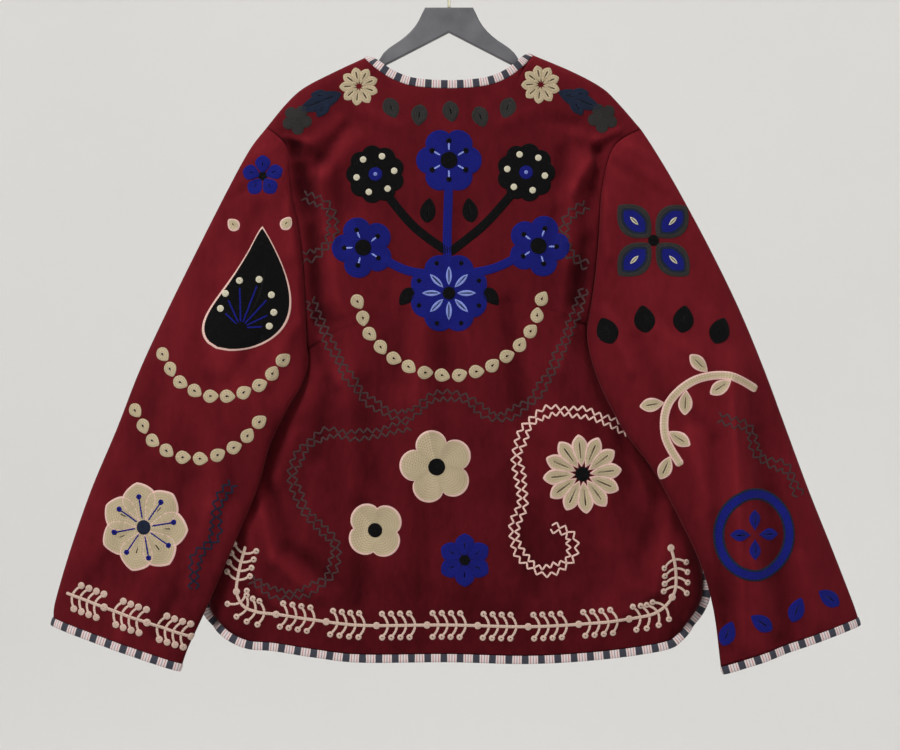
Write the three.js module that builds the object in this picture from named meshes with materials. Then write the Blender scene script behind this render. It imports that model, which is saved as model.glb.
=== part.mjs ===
import * as THREE from 'three';

// A wide velvet jacket on a flat hanger, in millimetres, +Z up.
// The origin is the point of the hook that rests on its rail. The jacket's back faces -Y,
// and +X is the wearer's right. Every piece of cloth is a thin closed wall, and pieces
// that are sewn to each other stand a hair apart along the seam.

const CLOTH = 2;
const SEAM = 0.15;
const ARMHOLE_GAP = 0.2;
const EDGE_GAP = 0.3;
const BINDING_WIDTH = 9.5;

// Grid sizes: rows above and below the underarm, columns along each shoulder,
// across the back neck and across half the front neck, and rings down a sleeve.
const ARMHOLE_ROWS = 13;
const SIDE_ROWS = 13;
const SHOULDER_COLUMNS = 8;
const BACK_NECK_COLUMNS = 16;
const FRONT_NECK_COLUMNS = 7;
const SLEEVE_RINGS = 18;
const RING_CROWDING = 1.35;

// The part of the hem's length that lies below one shoulder, on the back and on a front.
const BACK_SHOULDER_PART = 0.265;
const FRONT_SHOULDER_PART = 0.6;

// How far the cloth stands from the jacket's middle plane.
const SHOULDER_DEPTH = 10.5;
const SHOULDER_ROLL = 18;
const SIDE_ROLL = 45;
const UNDERARM_ROLL = 110;
const UNDERARM_REACH = 90;
const NECK_REACH = 40;
const NECK_TURN = 20;
const BACK_DEPTH = [{ t: 0, y: 12 }, { t: 0.2, y: 17 }, { t: 0.5, y: 20 }, { t: 1, y: 22 }];
const FRONT_DEPTH = [{ t: 0, y: 11 }, { t: 0.2, y: 13 }, { t: 0.5, y: 14 }, { t: 1, y: 14 }];
const ARMHOLE_DEPTH = { back: 14, front: 12 };
const ARMHOLE_TOP_PART = 0.08;
const ARMHOLE_UNDER_PART = 0.12;
const SIDE_SEAM_SHIFT = 7;
const SIDE_SEAM_SHIFT_REACH = 36;
const VENT_TOP = -695;
const VENT_RUN = 30;
const VENT_GAP = 7;
const VENT_TURN_BY = 2.5;
const VENT_OPEN = 4.5;

// Sleeve cloth puffs out beside the armhole seam.
const PUFF_HEIGHT = 6;
const PUFF_AT = 0.05;
const SETTLE_BY = 0.15;
const FOLDS_START_BY = 0.08;
const TUBE_ROUNDNESS = 2.3;

const FRONT_EDGE_X = 12;
const FRONT_NECK_Z = -233;
const FRONT_HEM_LIFT = 5;
const FRONT_CORNER = 34;

const VELVET = { color: 0x521217, roughness: 0.85, metalness: 0 };
const BINDING = { color: 0xa9a3b4, roughness: 0.8, metalness: 0 };
const HANGER = { color: 0x55555a, roughness: 0.5, metalness: 0 };
const BRASS = { color: 0xc9c9b0, roughness: 0.35, metalness: 0.9 };

/** Rows of numbers as objects with the named columns. */
function table(columns, rows) {
  return rows.map((row) => Object.fromEntries(columns.map((name, i) => [name, row[i]])));
}

/** The outlines of the jacket seen from behind, each from its upper end to its lower end. */
const OUTLINE = {
  left: {
    shoulder: table(['x', 'z'], [
      [-97, -126.5], [-132, -142.8], [-166.8, -161], [-187.5, -179.6], [-210, -207],
    ]),
    armhole: table(['x', 'z'], [
      [-210, -207], [-187, -228], [-183, -256], [-179, -290], [-171, -330], [-166, -382], [-163, -462],
    ]),
    side: table(['x', 'z'], [
      [-163, -462], [-164.5, -478], [-176, -504], [-205, -550], [-250, -640], [-271, -704],
      [-276, -745], [-274, -762], [-265, -773],
    ]),
  },
  right: {
    shoulder: table(['x', 'z'], [
      [97, -123.5], [142.6, -142.8], [176, -161], [195.5, -179.6], [221, -209],
    ]),
    armhole: table(['x', 'z'], [
      [221, -209], [189, -230], [175, -278.5], [171, -336], [166, -388], [159, -434],
    ]),
    side: table(['x', 'z'], [
      [159, -434], [160.5, -450], [172, -484], [190, -520], [216, -562], [245, -602], [273, -650],
      [289, -695], [292, -738], [286, -758], [274, -774],
    ]),
  },
};

const BACK_NECK = table(['x', 'z'], [
  [-97, -126.5], [-85, -139], [-65, -152.2], [-40, -160.4], [0, -163],
  [40, -160.2], [65, -151.8], [85, -137.6], [97, -123.5],
]);

const HEM = table(['x', 'z'], [
  [-265, -773], [-250, -785], [-228, -794], [-199, -796.5], [-151, -804], [-100, -809.5],
  [0, -809], [92, -811], [174, -806], [243, -796], [260, -788], [274, -774],
]);

/** Half of the front neckline, from the shoulder to the front edge, for the left side. */
const FRONT_NECK = table(['x', 'z'], [
  [-97, -126.5], [-93, -150], [-80, -181], [-59, -207], [-35, -225], [-FRONT_EDGE_X, FRONT_NECK_Z],
]);

/** A row for each section down the sleeve: its two edges, the depth of the edge that lies
 * over the body, and half the thickness of the flattened tube. */
const SLEEVE_COLUMNS = ['t', 'outerX', 'outerZ', 'innerX', 'innerZ', 'innerY', 'half'];
const SLEEVES = {
  left: table(SLEEVE_COLUMNS, [
    [0, -210, -207, -163, -462, 0, 13],
    [0.06, -229, -232, -163.5, -470, -3, 14],
    [0.14, -254, -278, -166, -482, -8, 16],
    [0.24, -289, -347, -173, -505, -17, 18],
    [0.34, -323, -416, -184, -530, -24, 20],
    [0.46, -355, -485, -203, -570, -29, 21],
    [0.57, -382, -554, -217, -619, -30, 21],
    [0.68, -411, -623, -246, -688, -29, 19],
    [0.79, -435, -692, -275, -755, -27, 17],
    [0.9, -452, -750, -296, -800, -25, 15],
    [1, -454.5, -769.5, -303, -819.5, -25, 14],
  ]),
  right: table(SLEEVE_COLUMNS, [
    [0, 221, -209, 159, -434, 0, 13],
    [0.06, 236, -232, 158.5, -445, -3, 14],
    [0.14, 263, -278, 160, -460, -8, 16],
    [0.24, 300, -347, 167, -488, -17, 18],
    [0.34, 333.5, -416, 180, -520, -24, 20],
    [0.46, 362, -485, 202, -560, -29, 21],
    [0.57, 387.5, -554, 232, -600, -30, 21],
    [0.68, 413, -623, 262, -655, -29, 19],
    [0.79, 440.5, -692, 290, -708, -27, 17],
    [0.9, 463, -750, 308, -760, -25, 15],
    [1, 469.8, -769.6, 314, -823, -25, 14],
  ]),
};
const OUTER_Y = -3;

/** Folds as soft ridges (positive height) and troughs along straight lines, seen from outside. */
const FOLD_COLUMNS = ['x0', 'z0', 'x1', 'z1', 'width', 'height'];
const FOLDS = {
  back: table(FOLD_COLUMNS, [
    [-205, -216, -143, -250, 10, -3],
    [213, -212, 183, -227, 10, -3],
    [-163, -270, -150, -430, 13, -5],
    [158, -280, 146, -410, 13, -5],
    [-118, -225, -142, -267, 13, 4],
    [-142, -267, -138, -405, 14, 5],
    [150, -250, 146, -359, 14, 5],
    [128, -290, 160, -246, 12, 3],
    [-114, -330, -114, -520, 18, 4],
    [36, -330, 40, -540, 22, 3],
    [-40, -420, -60, -700, 26, 3],
    [110, -430, 130, -660, 24, 3],
    [262, -690, 174, -760, 18, 4],
    [-220, -660, -172, -738, 18, 4],
  ]),
  front: table(FOLD_COLUMNS, [
    [-150, -230, -142, -420, 15, 4],
    [150, -230, 140, -430, 15, 4],
    [-100, -330, -120, -640, 22, 3],
    [104, -300, 130, -650, 22, 3],
    [-60, -520, -80, -760, 22, 3],
    [64, -480, 70, -740, 22, 3],
    [-205, -600, -190, -740, 18, 3],
    [206, -590, 200, -730, 18, 3],
  ]),
  sleeveBack: table(FOLD_COLUMNS, [
    [-200, -240, -215, -290, 10, 4],
    [-185, -330, -172, -430, 10, 4],
    [-250, -380, -262, -640, 20, 4],
    [-330, -500, -380, -720, 22, -4],
    [215, -238, 196, -285, 10, 4],
    [235, -290, 275, -318, 10, -3],
    [260, -470, 305, -640, 20, 4],
    [318, -480, 350, -800, 16, 5],
    [352, -500, 382, -790, 16, -5],
  ]),
  sleeveFront: table(FOLD_COLUMNS, [
    [-230, -330, -300, -560, 20, 4],
    [-300, -560, -350, -760, 20, -4],
    [240, -330, 310, -570, 20, 4],
    [320, -560, 362, -770, 20, -4],
  ]),
};
const FOLD_FADE = 16;

// Hanger plate, seen from behind: its right half's upper and lower outlines.
const HANGER_HALF_THICKNESS = 4;
const HANGER_CHAMFER = 1.6;
const HANGER_TOP = table(['x', 'z'], [
  [27.5, -69], [31.5, -77], [36.5, -87], [44.5, -97], [55, -106], [69, -115.5], [76.5, -122.8],
  [81.5, -131], [89, -138], [100, -141], [132, -154], [160, -168], [180, -182.5], [189, -192],
]);
const HANGER_TIP = { x: 192, z: -200 };
const HANGER_UNDER = table(['x', 'z'], [
  [188, -206], [180, -205.5], [150, -188], [110, -165], [92, -153], [75, -136.4],
]);
const HANGER_NOTCH_Z = -97.7;
const HANGER_TOP_STEPS = 26;
const HANGER_UNDER_STEPS = 10;

// Hook: a round wire that rises from the plate, swings aside and bends over the rail.
const WIRE_RADIUS = 1.75;
const HOOK_RADIUS = 20.75;
const HOOK_CENTRE_Z = WIRE_RADIUS - HOOK_RADIUS;
const HOOK_START_DEGREES = -27;
const HOOK_END_DEGREES = 196;
const HOOK_STEP_DEGREES = 22.3;
const HOOK_STEM = table(['x', 'z'], [[0, -68.7], [0, -62], [0, -55], [3.5, -46.5], [11.5, -37.5]]);
const WIRE_SIDES = 8;
const WIRE_STEPS = 30;

const BACK = -1;
const FRONT = 1;
const UP = new THREE.Vector3(0, 0, 1);

function clamp01(value) {
  return Math.min(Math.max(value, 0), 1);
}

function smoothStep(value) {
  const s = clamp01(value);
  return s * s * (3 - 2 * s);
}

/** Rises from 0 to 1 over the reach as a quarter of an ellipse does, and stays at 1. */
function quarterRound(distance, reach) {
  const s = 1 - clamp01(distance / reach);
  return Math.sqrt(1 - s * s);
}

/** A smooth value between the rows of a table whose key column is t. */
function smoothColumn(rows, column, t) {
  const last = rows.length - 1;
  let i = 0;
  while (i < last - 1 && rows[i + 1].t <= t) {
    i += 1;
  }
  const s = (t - rows[i].t) / (rows[i + 1].t - rows[i].t);
  const around = [i - 1, i, i + 1, i + 2];
  const [a, b, c, d] = around.map((k) => rows[Math.min(Math.max(k, 0), last)][column]);
  const startSlope = (c - a) / 2;
  const endSlope = (d - b) / 2;
  const cubic = 2 * b - 2 * c + startSlope + endSlope;
  const square = 3 * c - 3 * b - 2 * startSlope - endSlope;
  return ((cubic * s + square) * s + startSlope) * s + b;
}

/** Points spread along the smooth curve through a table's rows, at the given shares of its length. */
function pointsAlong(rows, shares) {
  const curve = new THREE.SplineCurve(rows.map((row) => new THREE.Vector2(row.x, row.z)));
  return shares.map((share) => curve.getPointAt(share));
}

function evenShares(count) {
  return Array.from({ length: count + 1 }, (_, i) => i / count);
}

/** Shares that crowd together towards both ends. */
function crowdedShares(count, crowding) {
  return evenShares(count).map((s) => s - crowding * Math.sin(2 * Math.PI * s) / (2 * Math.PI));
}

/** The height of all folds at a point of the outline plane. */
function foldHeight(folds, x, z) {
  let height = 0;
  for (const fold of folds) {
    const runX = fold.x1 - fold.x0;
    const runZ = fold.z1 - fold.z0;
    const share = ((x - fold.x0) * runX + (z - fold.z0) * runZ) / (runX * runX + runZ * runZ);
    const s = clamp01(share);
    const away = Math.hypot(x - fold.x0 - s * runX, z - fold.z0 - s * runZ) / fold.width;
    height += fold.height * Math.exp(-away * away);
  }
  return height;
}

const ROWS = ARMHOLE_ROWS + SIDE_ROWS;
const ARMHOLE_SHARES = crowdedShares(ARMHOLE_ROWS, 0.72);
const SIDE_SHARES = crowdedShares(SIDE_ROWS, 0.6);
const SHOULDER_SHARES = evenShares(SHOULDER_COLUMNS);

/** One side edge of the body, a point for each row: the armhole, then the side seam. */
function sideEdge(side) {
  const armhole = pointsAlong(OUTLINE[side].armhole, ARMHOLE_SHARES);
  const seam = pointsAlong(OUTLINE[side].side, SIDE_SHARES);
  return [...armhole, ...seam.slice(1)];
}

const EDGES = { left: sideEdge('left'), right: sideEdge('right') };
const SHOULDERS = {
  left: pointsAlong(OUTLINE.left.shoulder, SHOULDER_SHARES),
  right: pointsAlong(OUTLINE.right.shoulder, SHOULDER_SHARES),
};

/** How far down the body each row lies, from 0 at the shoulder to 1 at the hem. */
const ROW_DROPS = evenShares(ROWS).map((_, row) => {
  const drops = ['left', 'right'].map((side) => {
    const edge = EDGES[side];
    return (edge[0].y - edge[row].y) / (edge[0].y - edge[ROWS].y);
  });
  return (drops[0] + drops[1]) / 2;
});

/** How far each edge of a side vent stands off the middle plane. */
function ventGap(z) {
  return VENT_GAP * smoothStep((VENT_TOP - z) / VENT_RUN);
}

/** Where the side edge stands off the middle plane, in the direction that the face looks. */
function edgeDepth(face, side, row) {
  if (row <= ARMHOLE_ROWS) {
    const share = ARMHOLE_SHARES[row];
    const deepest = face === BACK ? ARMHOLE_DEPTH.back : ARMHOLE_DEPTH.front;
    const depth = SHOULDER_DEPTH + (deepest - SHOULDER_DEPTH) * smoothStep(share * 2);
    const late = Math.max(0, share * 2 - 1);
    return SEAM + (depth - SEAM) * Math.sqrt(1 - late * late);
  }
  const z = EDGES[side][row].y;
  const below = EDGES[side][ARMHOLE_ROWS].y - z;
  const shift = SIDE_SEAM_SHIFT * smoothStep(below / SIDE_SEAM_SHIFT_REACH);
  return SEAM + face * shift + ventGap(z);
}

/** How far in from the side edge the cloth rounds over: further beside the underarm. */
function sideRoll(side, row) {
  const away = Math.abs(EDGES[side][row].y - EDGES[side][ARMHOLE_ROWS].y);
  return SIDE_ROLL + (UNDERARM_ROLL - SIDE_ROLL) * (1 - smoothStep(away / UNDERARM_REACH));
}

/** Fills the outline between four boundary lines of points. What the side lines stand off a
 * straight side dies away quickly towards the middle. */
function fillPatch(top, bottom, left, right, columnShares, drops) {
  const grid = [];
  for (let row = 0; row < drops.length; row += 1) {
    const v = drops[row];
    const line = [];
    for (let column = 0; column < columnShares.length; column += 1) {
      const u = columnShares[column];
      const point = top[column].clone().lerp(bottom[column], v);
      const leftBulge = left[row].clone().sub(top[0].clone().lerp(bottom[0], v));
      const rightBulge = right[row].clone().sub(top.at(-1).clone().lerp(bottom.at(-1), v));
      point.addScaledVector(leftBulge, (1 - u) * (1 - u));
      point.addScaledVector(rightBulge, u * u);
      line.push(point);
    }
    grid.push(line);
  }
  return grid;
}

/** The normal of a grid of points at one of its points, looking the way the face looks. */
function gridNormal(points, row, column, turn) {
  const above = points[Math.max(row - 1, 0)][column];
  const below = points[Math.min(row + 1, points.length - 1)][column];
  const before = points[row][Math.max(column - 1, 0)];
  const after = points[row][Math.min(column + 1, points[row].length - 1)];
  const down = below.clone().sub(above);
  const across = after.clone().sub(before);
  return down.cross(across).multiplyScalar(turn).normalize();
}

/** A closed wall: the given outer points, the same points moved inwards, and a rim. */
function wallGeometry(points, normals, turn) {
  const rows = points.length;
  const columns = points[0].length;
  const positions = [];
  points.flat().forEach((point) => positions.push(...point.toArray()));
  points.forEach((line, row) => line.forEach((point, column) => {
    const inner = point.clone().addScaledVector(normals[row][column], -CLOTH);
    positions.push(...inner.toArray());
  }));
  const index = [];
  const shift = rows * columns;
  const addQuad = (a, b, c, d) => {
    const quad = turn > 0 ? [a, b, c, a, c, d] : [a, c, b, a, d, c];
    index.push(...quad);
  };
  for (let row = 0; row < rows - 1; row += 1) {
    for (let column = 0; column < columns - 1; column += 1) {
      const a = row * columns + column;
      const b = a + columns;
      addQuad(a, b, b + 1, a + 1);
      addQuad(a + shift, a + 1 + shift, b + 1 + shift, b + shift);
    }
  }
  const rim = [];
  for (let row = 0; row < rows - 1; row += 1) {
    rim.push(row * columns);
  }
  for (let column = 0; column < columns - 1; column += 1) {
    rim.push((rows - 1) * columns + column);
  }
  for (let row = rows - 1; row > 0; row -= 1) {
    rim.push(row * columns + columns - 1);
  }
  for (let column = columns - 1; column > 0; column -= 1) {
    rim.push(column);
  }
  rim.forEach((from, i) => {
    const to = rim[(i + 1) % rim.length];
    addQuad(to, from, from + shift, to + shift);
  });
  const geometry = new THREE.BufferGeometry();
  geometry.setAttribute('position', new THREE.Float32BufferAttribute(positions, 3));
  geometry.setIndex(index);
  geometry.computeVertexNormals();
  return geometry;
}

/** The direction square to a line in the outline plane, on the side of the given hint. */
function squareTo(from, to, hint) {
  const direction = new THREE.Vector3(-(to.y - from.y), 0, to.x - from.x).normalize();
  return direction.dot(hint) < 0 ? direction.negate() : direction;
}

function shoulderNormals(line) {
  const last = line.length - 1;
  return line.map((_, i) => squareTo(line[Math.max(i - 1, 0)], line[Math.min(i + 1, last)], UP));
}

const SHOULDER_NORMALS = { left: shoulderNormals(SHOULDERS.left), right: shoulderNormals(SHOULDERS.right) };

function blend(pairs) {
  const sum = new THREE.Vector3();
  pairs.forEach(([vector, weight]) => sum.addScaledVector(vector, weight));
  return sum.normalize();
}

/** The wall's direction along the armhole: over the shoulder at its top, flat along it, and
 * turned away from the piece across the seam at the underarm. */
function armholeNormal(face, side, row, towards) {
  const share = ARMHOLE_SHARES[row];
  const top = 1 - smoothStep(share / ARMHOLE_TOP_PART);
  const under = smoothStep((share - 1 + ARMHOLE_UNDER_PART) / ARMHOLE_UNDER_PART);
  const sign = side === 'left' ? -1 : 1;
  return blend([
    [SHOULDER_NORMALS[side].at(-1), top],
    [new THREE.Vector3(0, face, 0), Math.max(0, 1 - top - under)],
    [new THREE.Vector3(sign * towards, 0, 0), under],
  ]);
}

function bodyEdgeNormal(face, side, row) {
  if (row <= ARMHOLE_ROWS) {
    return armholeNormal(face, side, row, 1);
  }
  const edge = EDGES[side];
  const sign = side === 'left' ? -1 : 1;
  const sideways = squareTo(edge[row - 1], edge[Math.min(row + 1, ROWS)], new THREE.Vector3(sign, 0, 0));
  const open = clamp01(ventGap(edge[row].y) / VENT_TURN_BY);
  return blend([[sideways, 1 - open], [new THREE.Vector3(0, face, 0), open]]);
}

/** How much of the neck edge has turned from the top of the shoulder to the panel's face. */
function neckTurn(point) {
  const { x, z } = OUTLINE[point.x < 0 ? 'left' : 'right'].shoulder[0];
  return smoothStep(Math.hypot(point.x - x, point.y - z) / NECK_TURN);
}

/** A body panel's points: its flat outline given depth, rounded over at its edges, and folds. */
function bodyPanel(face, flat, isShoulder, edges, depths, folds) {
  return flat.map((line, row) => line.map((point, column) => {
    const depth = smoothColumn(depths, 'y', ROW_DROPS[row]);
    let full = depth;
    for (const { side, at } of edges) {
      const from = Math.abs(point.x - line[at].x);
      full += (edgeDepth(face, side, row) - depth) * (1 - quarterRound(from, sideRoll(side, row)));
    }
    const drop = flat[0][column].y - point.y;
    const onShoulder = isShoulder(column);
    const neckY = SEAM + (SHOULDER_DEPTH - SEAM) * neckTurn(flat[0][column]);
    const top = onShoulder ? SEAM : neckY;
    const reach = onShoulder ? SHOULDER_ROLL : NECK_REACH;
    const inside = Math.min(...edges.map(({ at }) => Math.abs(point.x - line[at].x)));
    const fade = smoothStep(inside / FOLD_FADE) * smoothStep(drop / FOLD_FADE);
    const height = top + (full - top) * quarterRound(drop, reach);
    return new THREE.Vector3(point.x, face * (height + fade * foldHeight(folds, point.x, point.y)), point.y);
  }));
}

/** The share of the hem that each column meets, so that columns run down without slanting. */
function backColumns() {
  const shoulder = BACK_SHOULDER_PART;
  const neckPart = 1 - 2 * shoulder;
  const left = SHOULDER_SHARES.map((share) => shoulder * (1 - share)).reverse();
  const middle = evenShares(BACK_NECK_COLUMNS).map((share) => shoulder + neckPart * share);
  const right = SHOULDER_SHARES.map((share) => 1 - shoulder + shoulder * share);
  return [...left, ...middle.slice(1, -1), ...right];
}

function backPanel() {
  const columnShares = backColumns();
  const neck = pointsAlong(BACK_NECK, evenShares(BACK_NECK_COLUMNS));
  const top = [...[...SHOULDERS.left].reverse(), ...neck.slice(1, -1), ...SHOULDERS.right];
  const bottom = pointsAlong(HEM, columnShares);
  const flat = fillPatch(top, bottom, EDGES.left, EDGES.right, columnShares, ROW_DROPS);
  const last = columnShares.length - 1;
  const isShoulder = (column) => column <= SHOULDER_COLUMNS || column >= last - SHOULDER_COLUMNS;
  const edges = [{ side: 'left', at: 0 }, { side: 'right', at: last }];
  const points = bodyPanel(BACK, flat, isShoulder, edges, BACK_DEPTH, FOLDS.back);
  const outward = new THREE.Vector3(0, BACK, 0);
  const normals = points.map((line, row) => line.map((_, column) => {
    if (column === 0) {
      return bodyEdgeNormal(BACK, 'left', row);
    }
    if (column === last) {
      return bodyEdgeNormal(BACK, 'right', row);
    }
    if (row === ROWS) {
      return outward.clone();
    }
    if (row > 0) {
      return gridNormal(points, row, column, 1);
    }
    if (column <= SHOULDER_COLUMNS) {
      return SHOULDER_NORMALS.left[SHOULDER_COLUMNS - column].clone();
    }
    if (column >= last - SHOULDER_COLUMNS) {
      return SHOULDER_NORMALS.right[column - last + SHOULDER_COLUMNS].clone();
    }
    const side = column < last / 2 ? 'left' : 'right';
    const turn = neckTurn(flat[0][column]);
    return blend([[SHOULDER_NORMALS[side][0], 1 - turn], [outward, turn]]);
  }));
  drawInArmhole(points, 0, 'left');
  drawInArmhole(points, last, 'right');
  return { points, normals };
}

/** Half the gap across the armhole seam at one row, towards the sleeve. */
function armholeShift(side, row) {
  const sign = side === 'left' ? -1 : 1;
  const edge = EDGES[side];
  const before = edge[Math.max(row - 1, 0)];
  const after = edge[Math.min(row + 1, ARMHOLE_ROWS)];
  return squareTo(before, after, new THREE.Vector3(sign, 0, 0)).multiplyScalar(ARMHOLE_GAP);
}

/** Draws the body's armhole edge in from the seam. */
function drawInArmhole(points, column, side) {
  for (let row = 0; row <= ARMHOLE_ROWS; row += 1) {
    points[row][column].sub(armholeShift(side, row));
  }
}

/** A front panel, worked out for its own side from the side edge to the front edge. */
function frontPanel(side) {
  const sign = side === 'left' ? -1 : 1;
  const shoulderPart = FRONT_SHOULDER_PART;
  const neckPoint = OUTLINE[side].shoulder[0];
  const neckRows = FRONT_NECK.map((row) => ({ x: -sign * row.x, z: row.z }));
  neckRows[0] = neckPoint;
  const neck = pointsAlong(neckRows, evenShares(FRONT_NECK_COLUMNS));
  const top = [...[...SHOULDERS[side]].reverse(), ...neck.slice(1)];
  const left = SHOULDER_SHARES.map((share) => shoulderPart * (1 - share)).reverse();
  const right = evenShares(FRONT_NECK_COLUMNS).map((share) => shoulderPart + (1 - shoulderPart) * share);
  const columnShares = [...left, ...right.slice(1)];
  const last = columnShares.length - 1;

  const hemRows = side === 'left' ? HEM.slice(0, 6) : [...HEM.slice(7)].reverse();
  const lifted = hemRows.map((row, i) => ({ x: row.x, z: row.z + (i > 0 ? FRONT_HEM_LIFT : 0) }));
  const hemZ = lifted.at(-1).z;
  const edgeX = sign * FRONT_EDGE_X;
  const bend = FRONT_CORNER * (1 - Math.SQRT1_2);
  lifted.push({ x: edgeX + sign * FRONT_CORNER, z: hemZ });
  lifted.push({ x: edgeX + sign * bend, z: hemZ + bend });
  const bottom = pointsAlong(lifted, columnShares);
  const frontEdge = ROW_DROPS.map((drop) => {
    const z = FRONT_NECK_Z + (hemZ + bend - FRONT_NECK_Z) * drop;
    const turned = clamp01((hemZ + FRONT_CORNER - z) / (FRONT_CORNER - bend));
    return new THREE.Vector2(edgeX + sign * bend * turned * turned, z);
  });
  const flat = fillPatch(top, bottom, EDGES[side], frontEdge, columnShares, ROW_DROPS);
  const isShoulder = (column) => column <= SHOULDER_COLUMNS;
  const edges = [{ side, at: 0 }];
  const points = bodyPanel(FRONT, flat, isShoulder, edges, FRONT_DEPTH, FOLDS.front);
  const outward = new THREE.Vector3(0, FRONT, 0);
  const normals = points.map((line, row) => line.map((_, column) => {
    if (column === 0) {
      return bodyEdgeNormal(FRONT, side, row);
    }
    if (row === ROWS || column === last) {
      return outward.clone();
    }
    if (row > 0) {
      return gridNormal(points, row, column, sign);
    }
    if (column <= SHOULDER_COLUMNS) {
      return SHOULDER_NORMALS[side][SHOULDER_COLUMNS - column].clone();
    }
    const turn = neckTurn(flat[0][column]);
    return blend([[SHOULDER_NORMALS[side][0], 1 - turn], [outward, turn]]);
  }));
  drawInArmhole(points, 0, side);
  return { points, normals };
}

/** Half of a sleeve, from its outer edge to its inner edge, ring by ring from the armhole. */
function sleeveHalf(side, face, armhole) {
  const sign = side === 'left' ? -1 : 1;
  const rows = SLEEVES[side];
  const folds = face === BACK ? FOLDS.sleeveBack : FOLDS.sleeveFront;
  const ringShares = evenShares(SLEEVE_RINGS).map((share) => share ** RING_CROWDING);
  const pointAt = (t, share) => {
    const at = (column) => smoothColumn(rows, column, t);
    const x = at('outerX') + (at('innerX') - at('outerX')) * share;
    const z = at('outerZ') + (at('innerZ') - at('outerZ')) * share;
    const middle = OUTER_Y * smoothStep(t / SETTLE_BY) * (1 - share) + at('innerY') * share;
    const round = Math.sqrt(1 - Math.abs(2 * share - 1) ** TUBE_ROUNDNESS);
    const puffed = t / PUFF_AT;
    const puff = face === BACK ? PUFF_HEIGHT * puffed * Math.exp(1 - puffed) * Math.sin(Math.PI * share) : 0;
    const fade = round * smoothStep(t / FOLDS_START_BY);
    const thick = SEAM + at('half') * round + puff + fade * foldHeight(folds, x, z);
    return new THREE.Vector3(x, middle + face * thick, z);
  };
  const points = ringShares.map((t) => ARMHOLE_SHARES.map((share, column) => {
    const point = pointAt(t, share);
    const settle = 1 - smoothStep(t / SETTLE_BY);
    const offset = armhole[column].clone().sub(pointAt(0, share));
    return point.addScaledVector(offset, settle);
  }));
  const last = ARMHOLE_ROWS;
  const turn = face === BACK ? -sign : sign;
  const flatten = (point) => new THREE.Vector2(point.x, point.z);
  const normals = points.map((line, row) => line.map((_, column) => {
    if (row === 0) {
      return armholeNormal(face, side, column, -1);
    }
    if (column > 0 && column < last) {
      const normal = gridNormal(points, row, column, turn);
      if (row === SLEEVE_RINGS) {
        normal.addScaledVector(cuffDirection(side), -normal.dot(cuffDirection(side))).normalize();
      }
      return normal;
    }
    const above = flatten(points[row - 1][column]);
    const below = flatten(points[Math.min(row + 1, SLEEVE_RINGS)][column]);
    const hint = new THREE.Vector3(column === 0 ? sign : -sign, 0, 0);
    return squareTo(above, below, hint);
  }));
  points[0].forEach((point, column) => point.add(armholeShift(side, column)));
  return { points, normals, turn };
}

/** The way the cuff faces: square to its edge, in the outline plane. */
function cuffDirection(side) {
  const end = SLEEVES[side].at(-1);
  const outer = new THREE.Vector2(end.outerX, end.outerZ);
  const inner = new THREE.Vector2(end.innerX, end.innerZ);
  return squareTo(outer, inner, UP.clone().negate());
}

/** The outline of a folded binding: x away from the cloth's edge, y out of its face. */
const BINDING_SECTION = [
  [EDGE_GAP, 0.8], [EDGE_GAP, -2.8], [BINDING_WIDTH - 1.2, -2.8],
  [BINDING_WIDTH, -1.7], [BINDING_WIDTH, -0.3], [BINDING_WIDTH - 1.2, 0.8],
];

/** A binding along a line of frames, each with its point, its way out and its face normal. */
function bindingGeometry(frames, closed) {
  const positions = [];
  for (const { point, out, normal } of frames) {
    for (const [away, proud] of BINDING_SECTION) {
      const corner = point.clone().addScaledVector(out, away).addScaledVector(normal, proud);
      positions.push(...corner.toArray());
    }
  }
  const sides = BINDING_SECTION.length;
  const index = [];
  const spans = closed ? frames.length : frames.length - 1;
  for (let span = 0; span < spans; span += 1) {
    const here = span * sides;
    const next = ((span + 1) % frames.length) * sides;
    for (let side = 0; side < sides; side += 1) {
      const other = (side + 1) % sides;
      index.push(here + side, next + other, next + side);
      index.push(here + side, here + other, next + other);
    }
  }
  if (!closed) {
    const end = spans * sides;
    for (let side = 1; side < sides - 1; side += 1) {
      index.push(0, side + 1, side);
      index.push(end, end + side, end + side + 1);
    }
  }
  const geometry = new THREE.BufferGeometry();
  geometry.setAttribute('position', new THREE.Float32BufferAttribute(positions, 3));
  geometry.setIndex(index);
  geometry.computeVertexNormals();
  return geometry;
}

/** Frames along a line of edge points whose face normals are known. */
function edgeFrames(points, normals, closed) {
  const count = points.length;
  return points.map((point, i) => {
    const before = closed ? points[(i + count - 1) % count] : points[Math.max(i - 1, 0)];
    const after = closed ? points[(i + 1) % count] : points[Math.min(i + 1, count - 1)];
    const along = after.clone().sub(before).normalize();
    const out = normals[i].clone().cross(along).normalize();
    return { point, out, normal: along.clone().cross(out).normalize() };
  });
}

/** The edge points of a panel round its vents, corners and hem, or its front edge. */
function boundEdge(panel, sides) {
  const last = panel.points[0].length - 1;
  const points = [];
  const normals = [];
  const take = (row, column) => {
    points.push(panel.points[row][column]);
    normals.push(panel.normals[row][column]);
  };
  for (let row = sides.startRow; row < ROWS; row += 1) {
    take(row, 0);
  }
  for (let column = 0; column <= last; column += 1) {
    take(ROWS, column);
  }
  for (let row = ROWS - 1; row >= sides.endRow; row -= 1) {
    take(row, last);
  }
  return { points, normals };
}

/** The first row whose side edge has opened enough for a binding. */
function ventRow(side) {
  return EDGES[side].findIndex((point) => ventGap(point.y) > VENT_OPEN);
}

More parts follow.
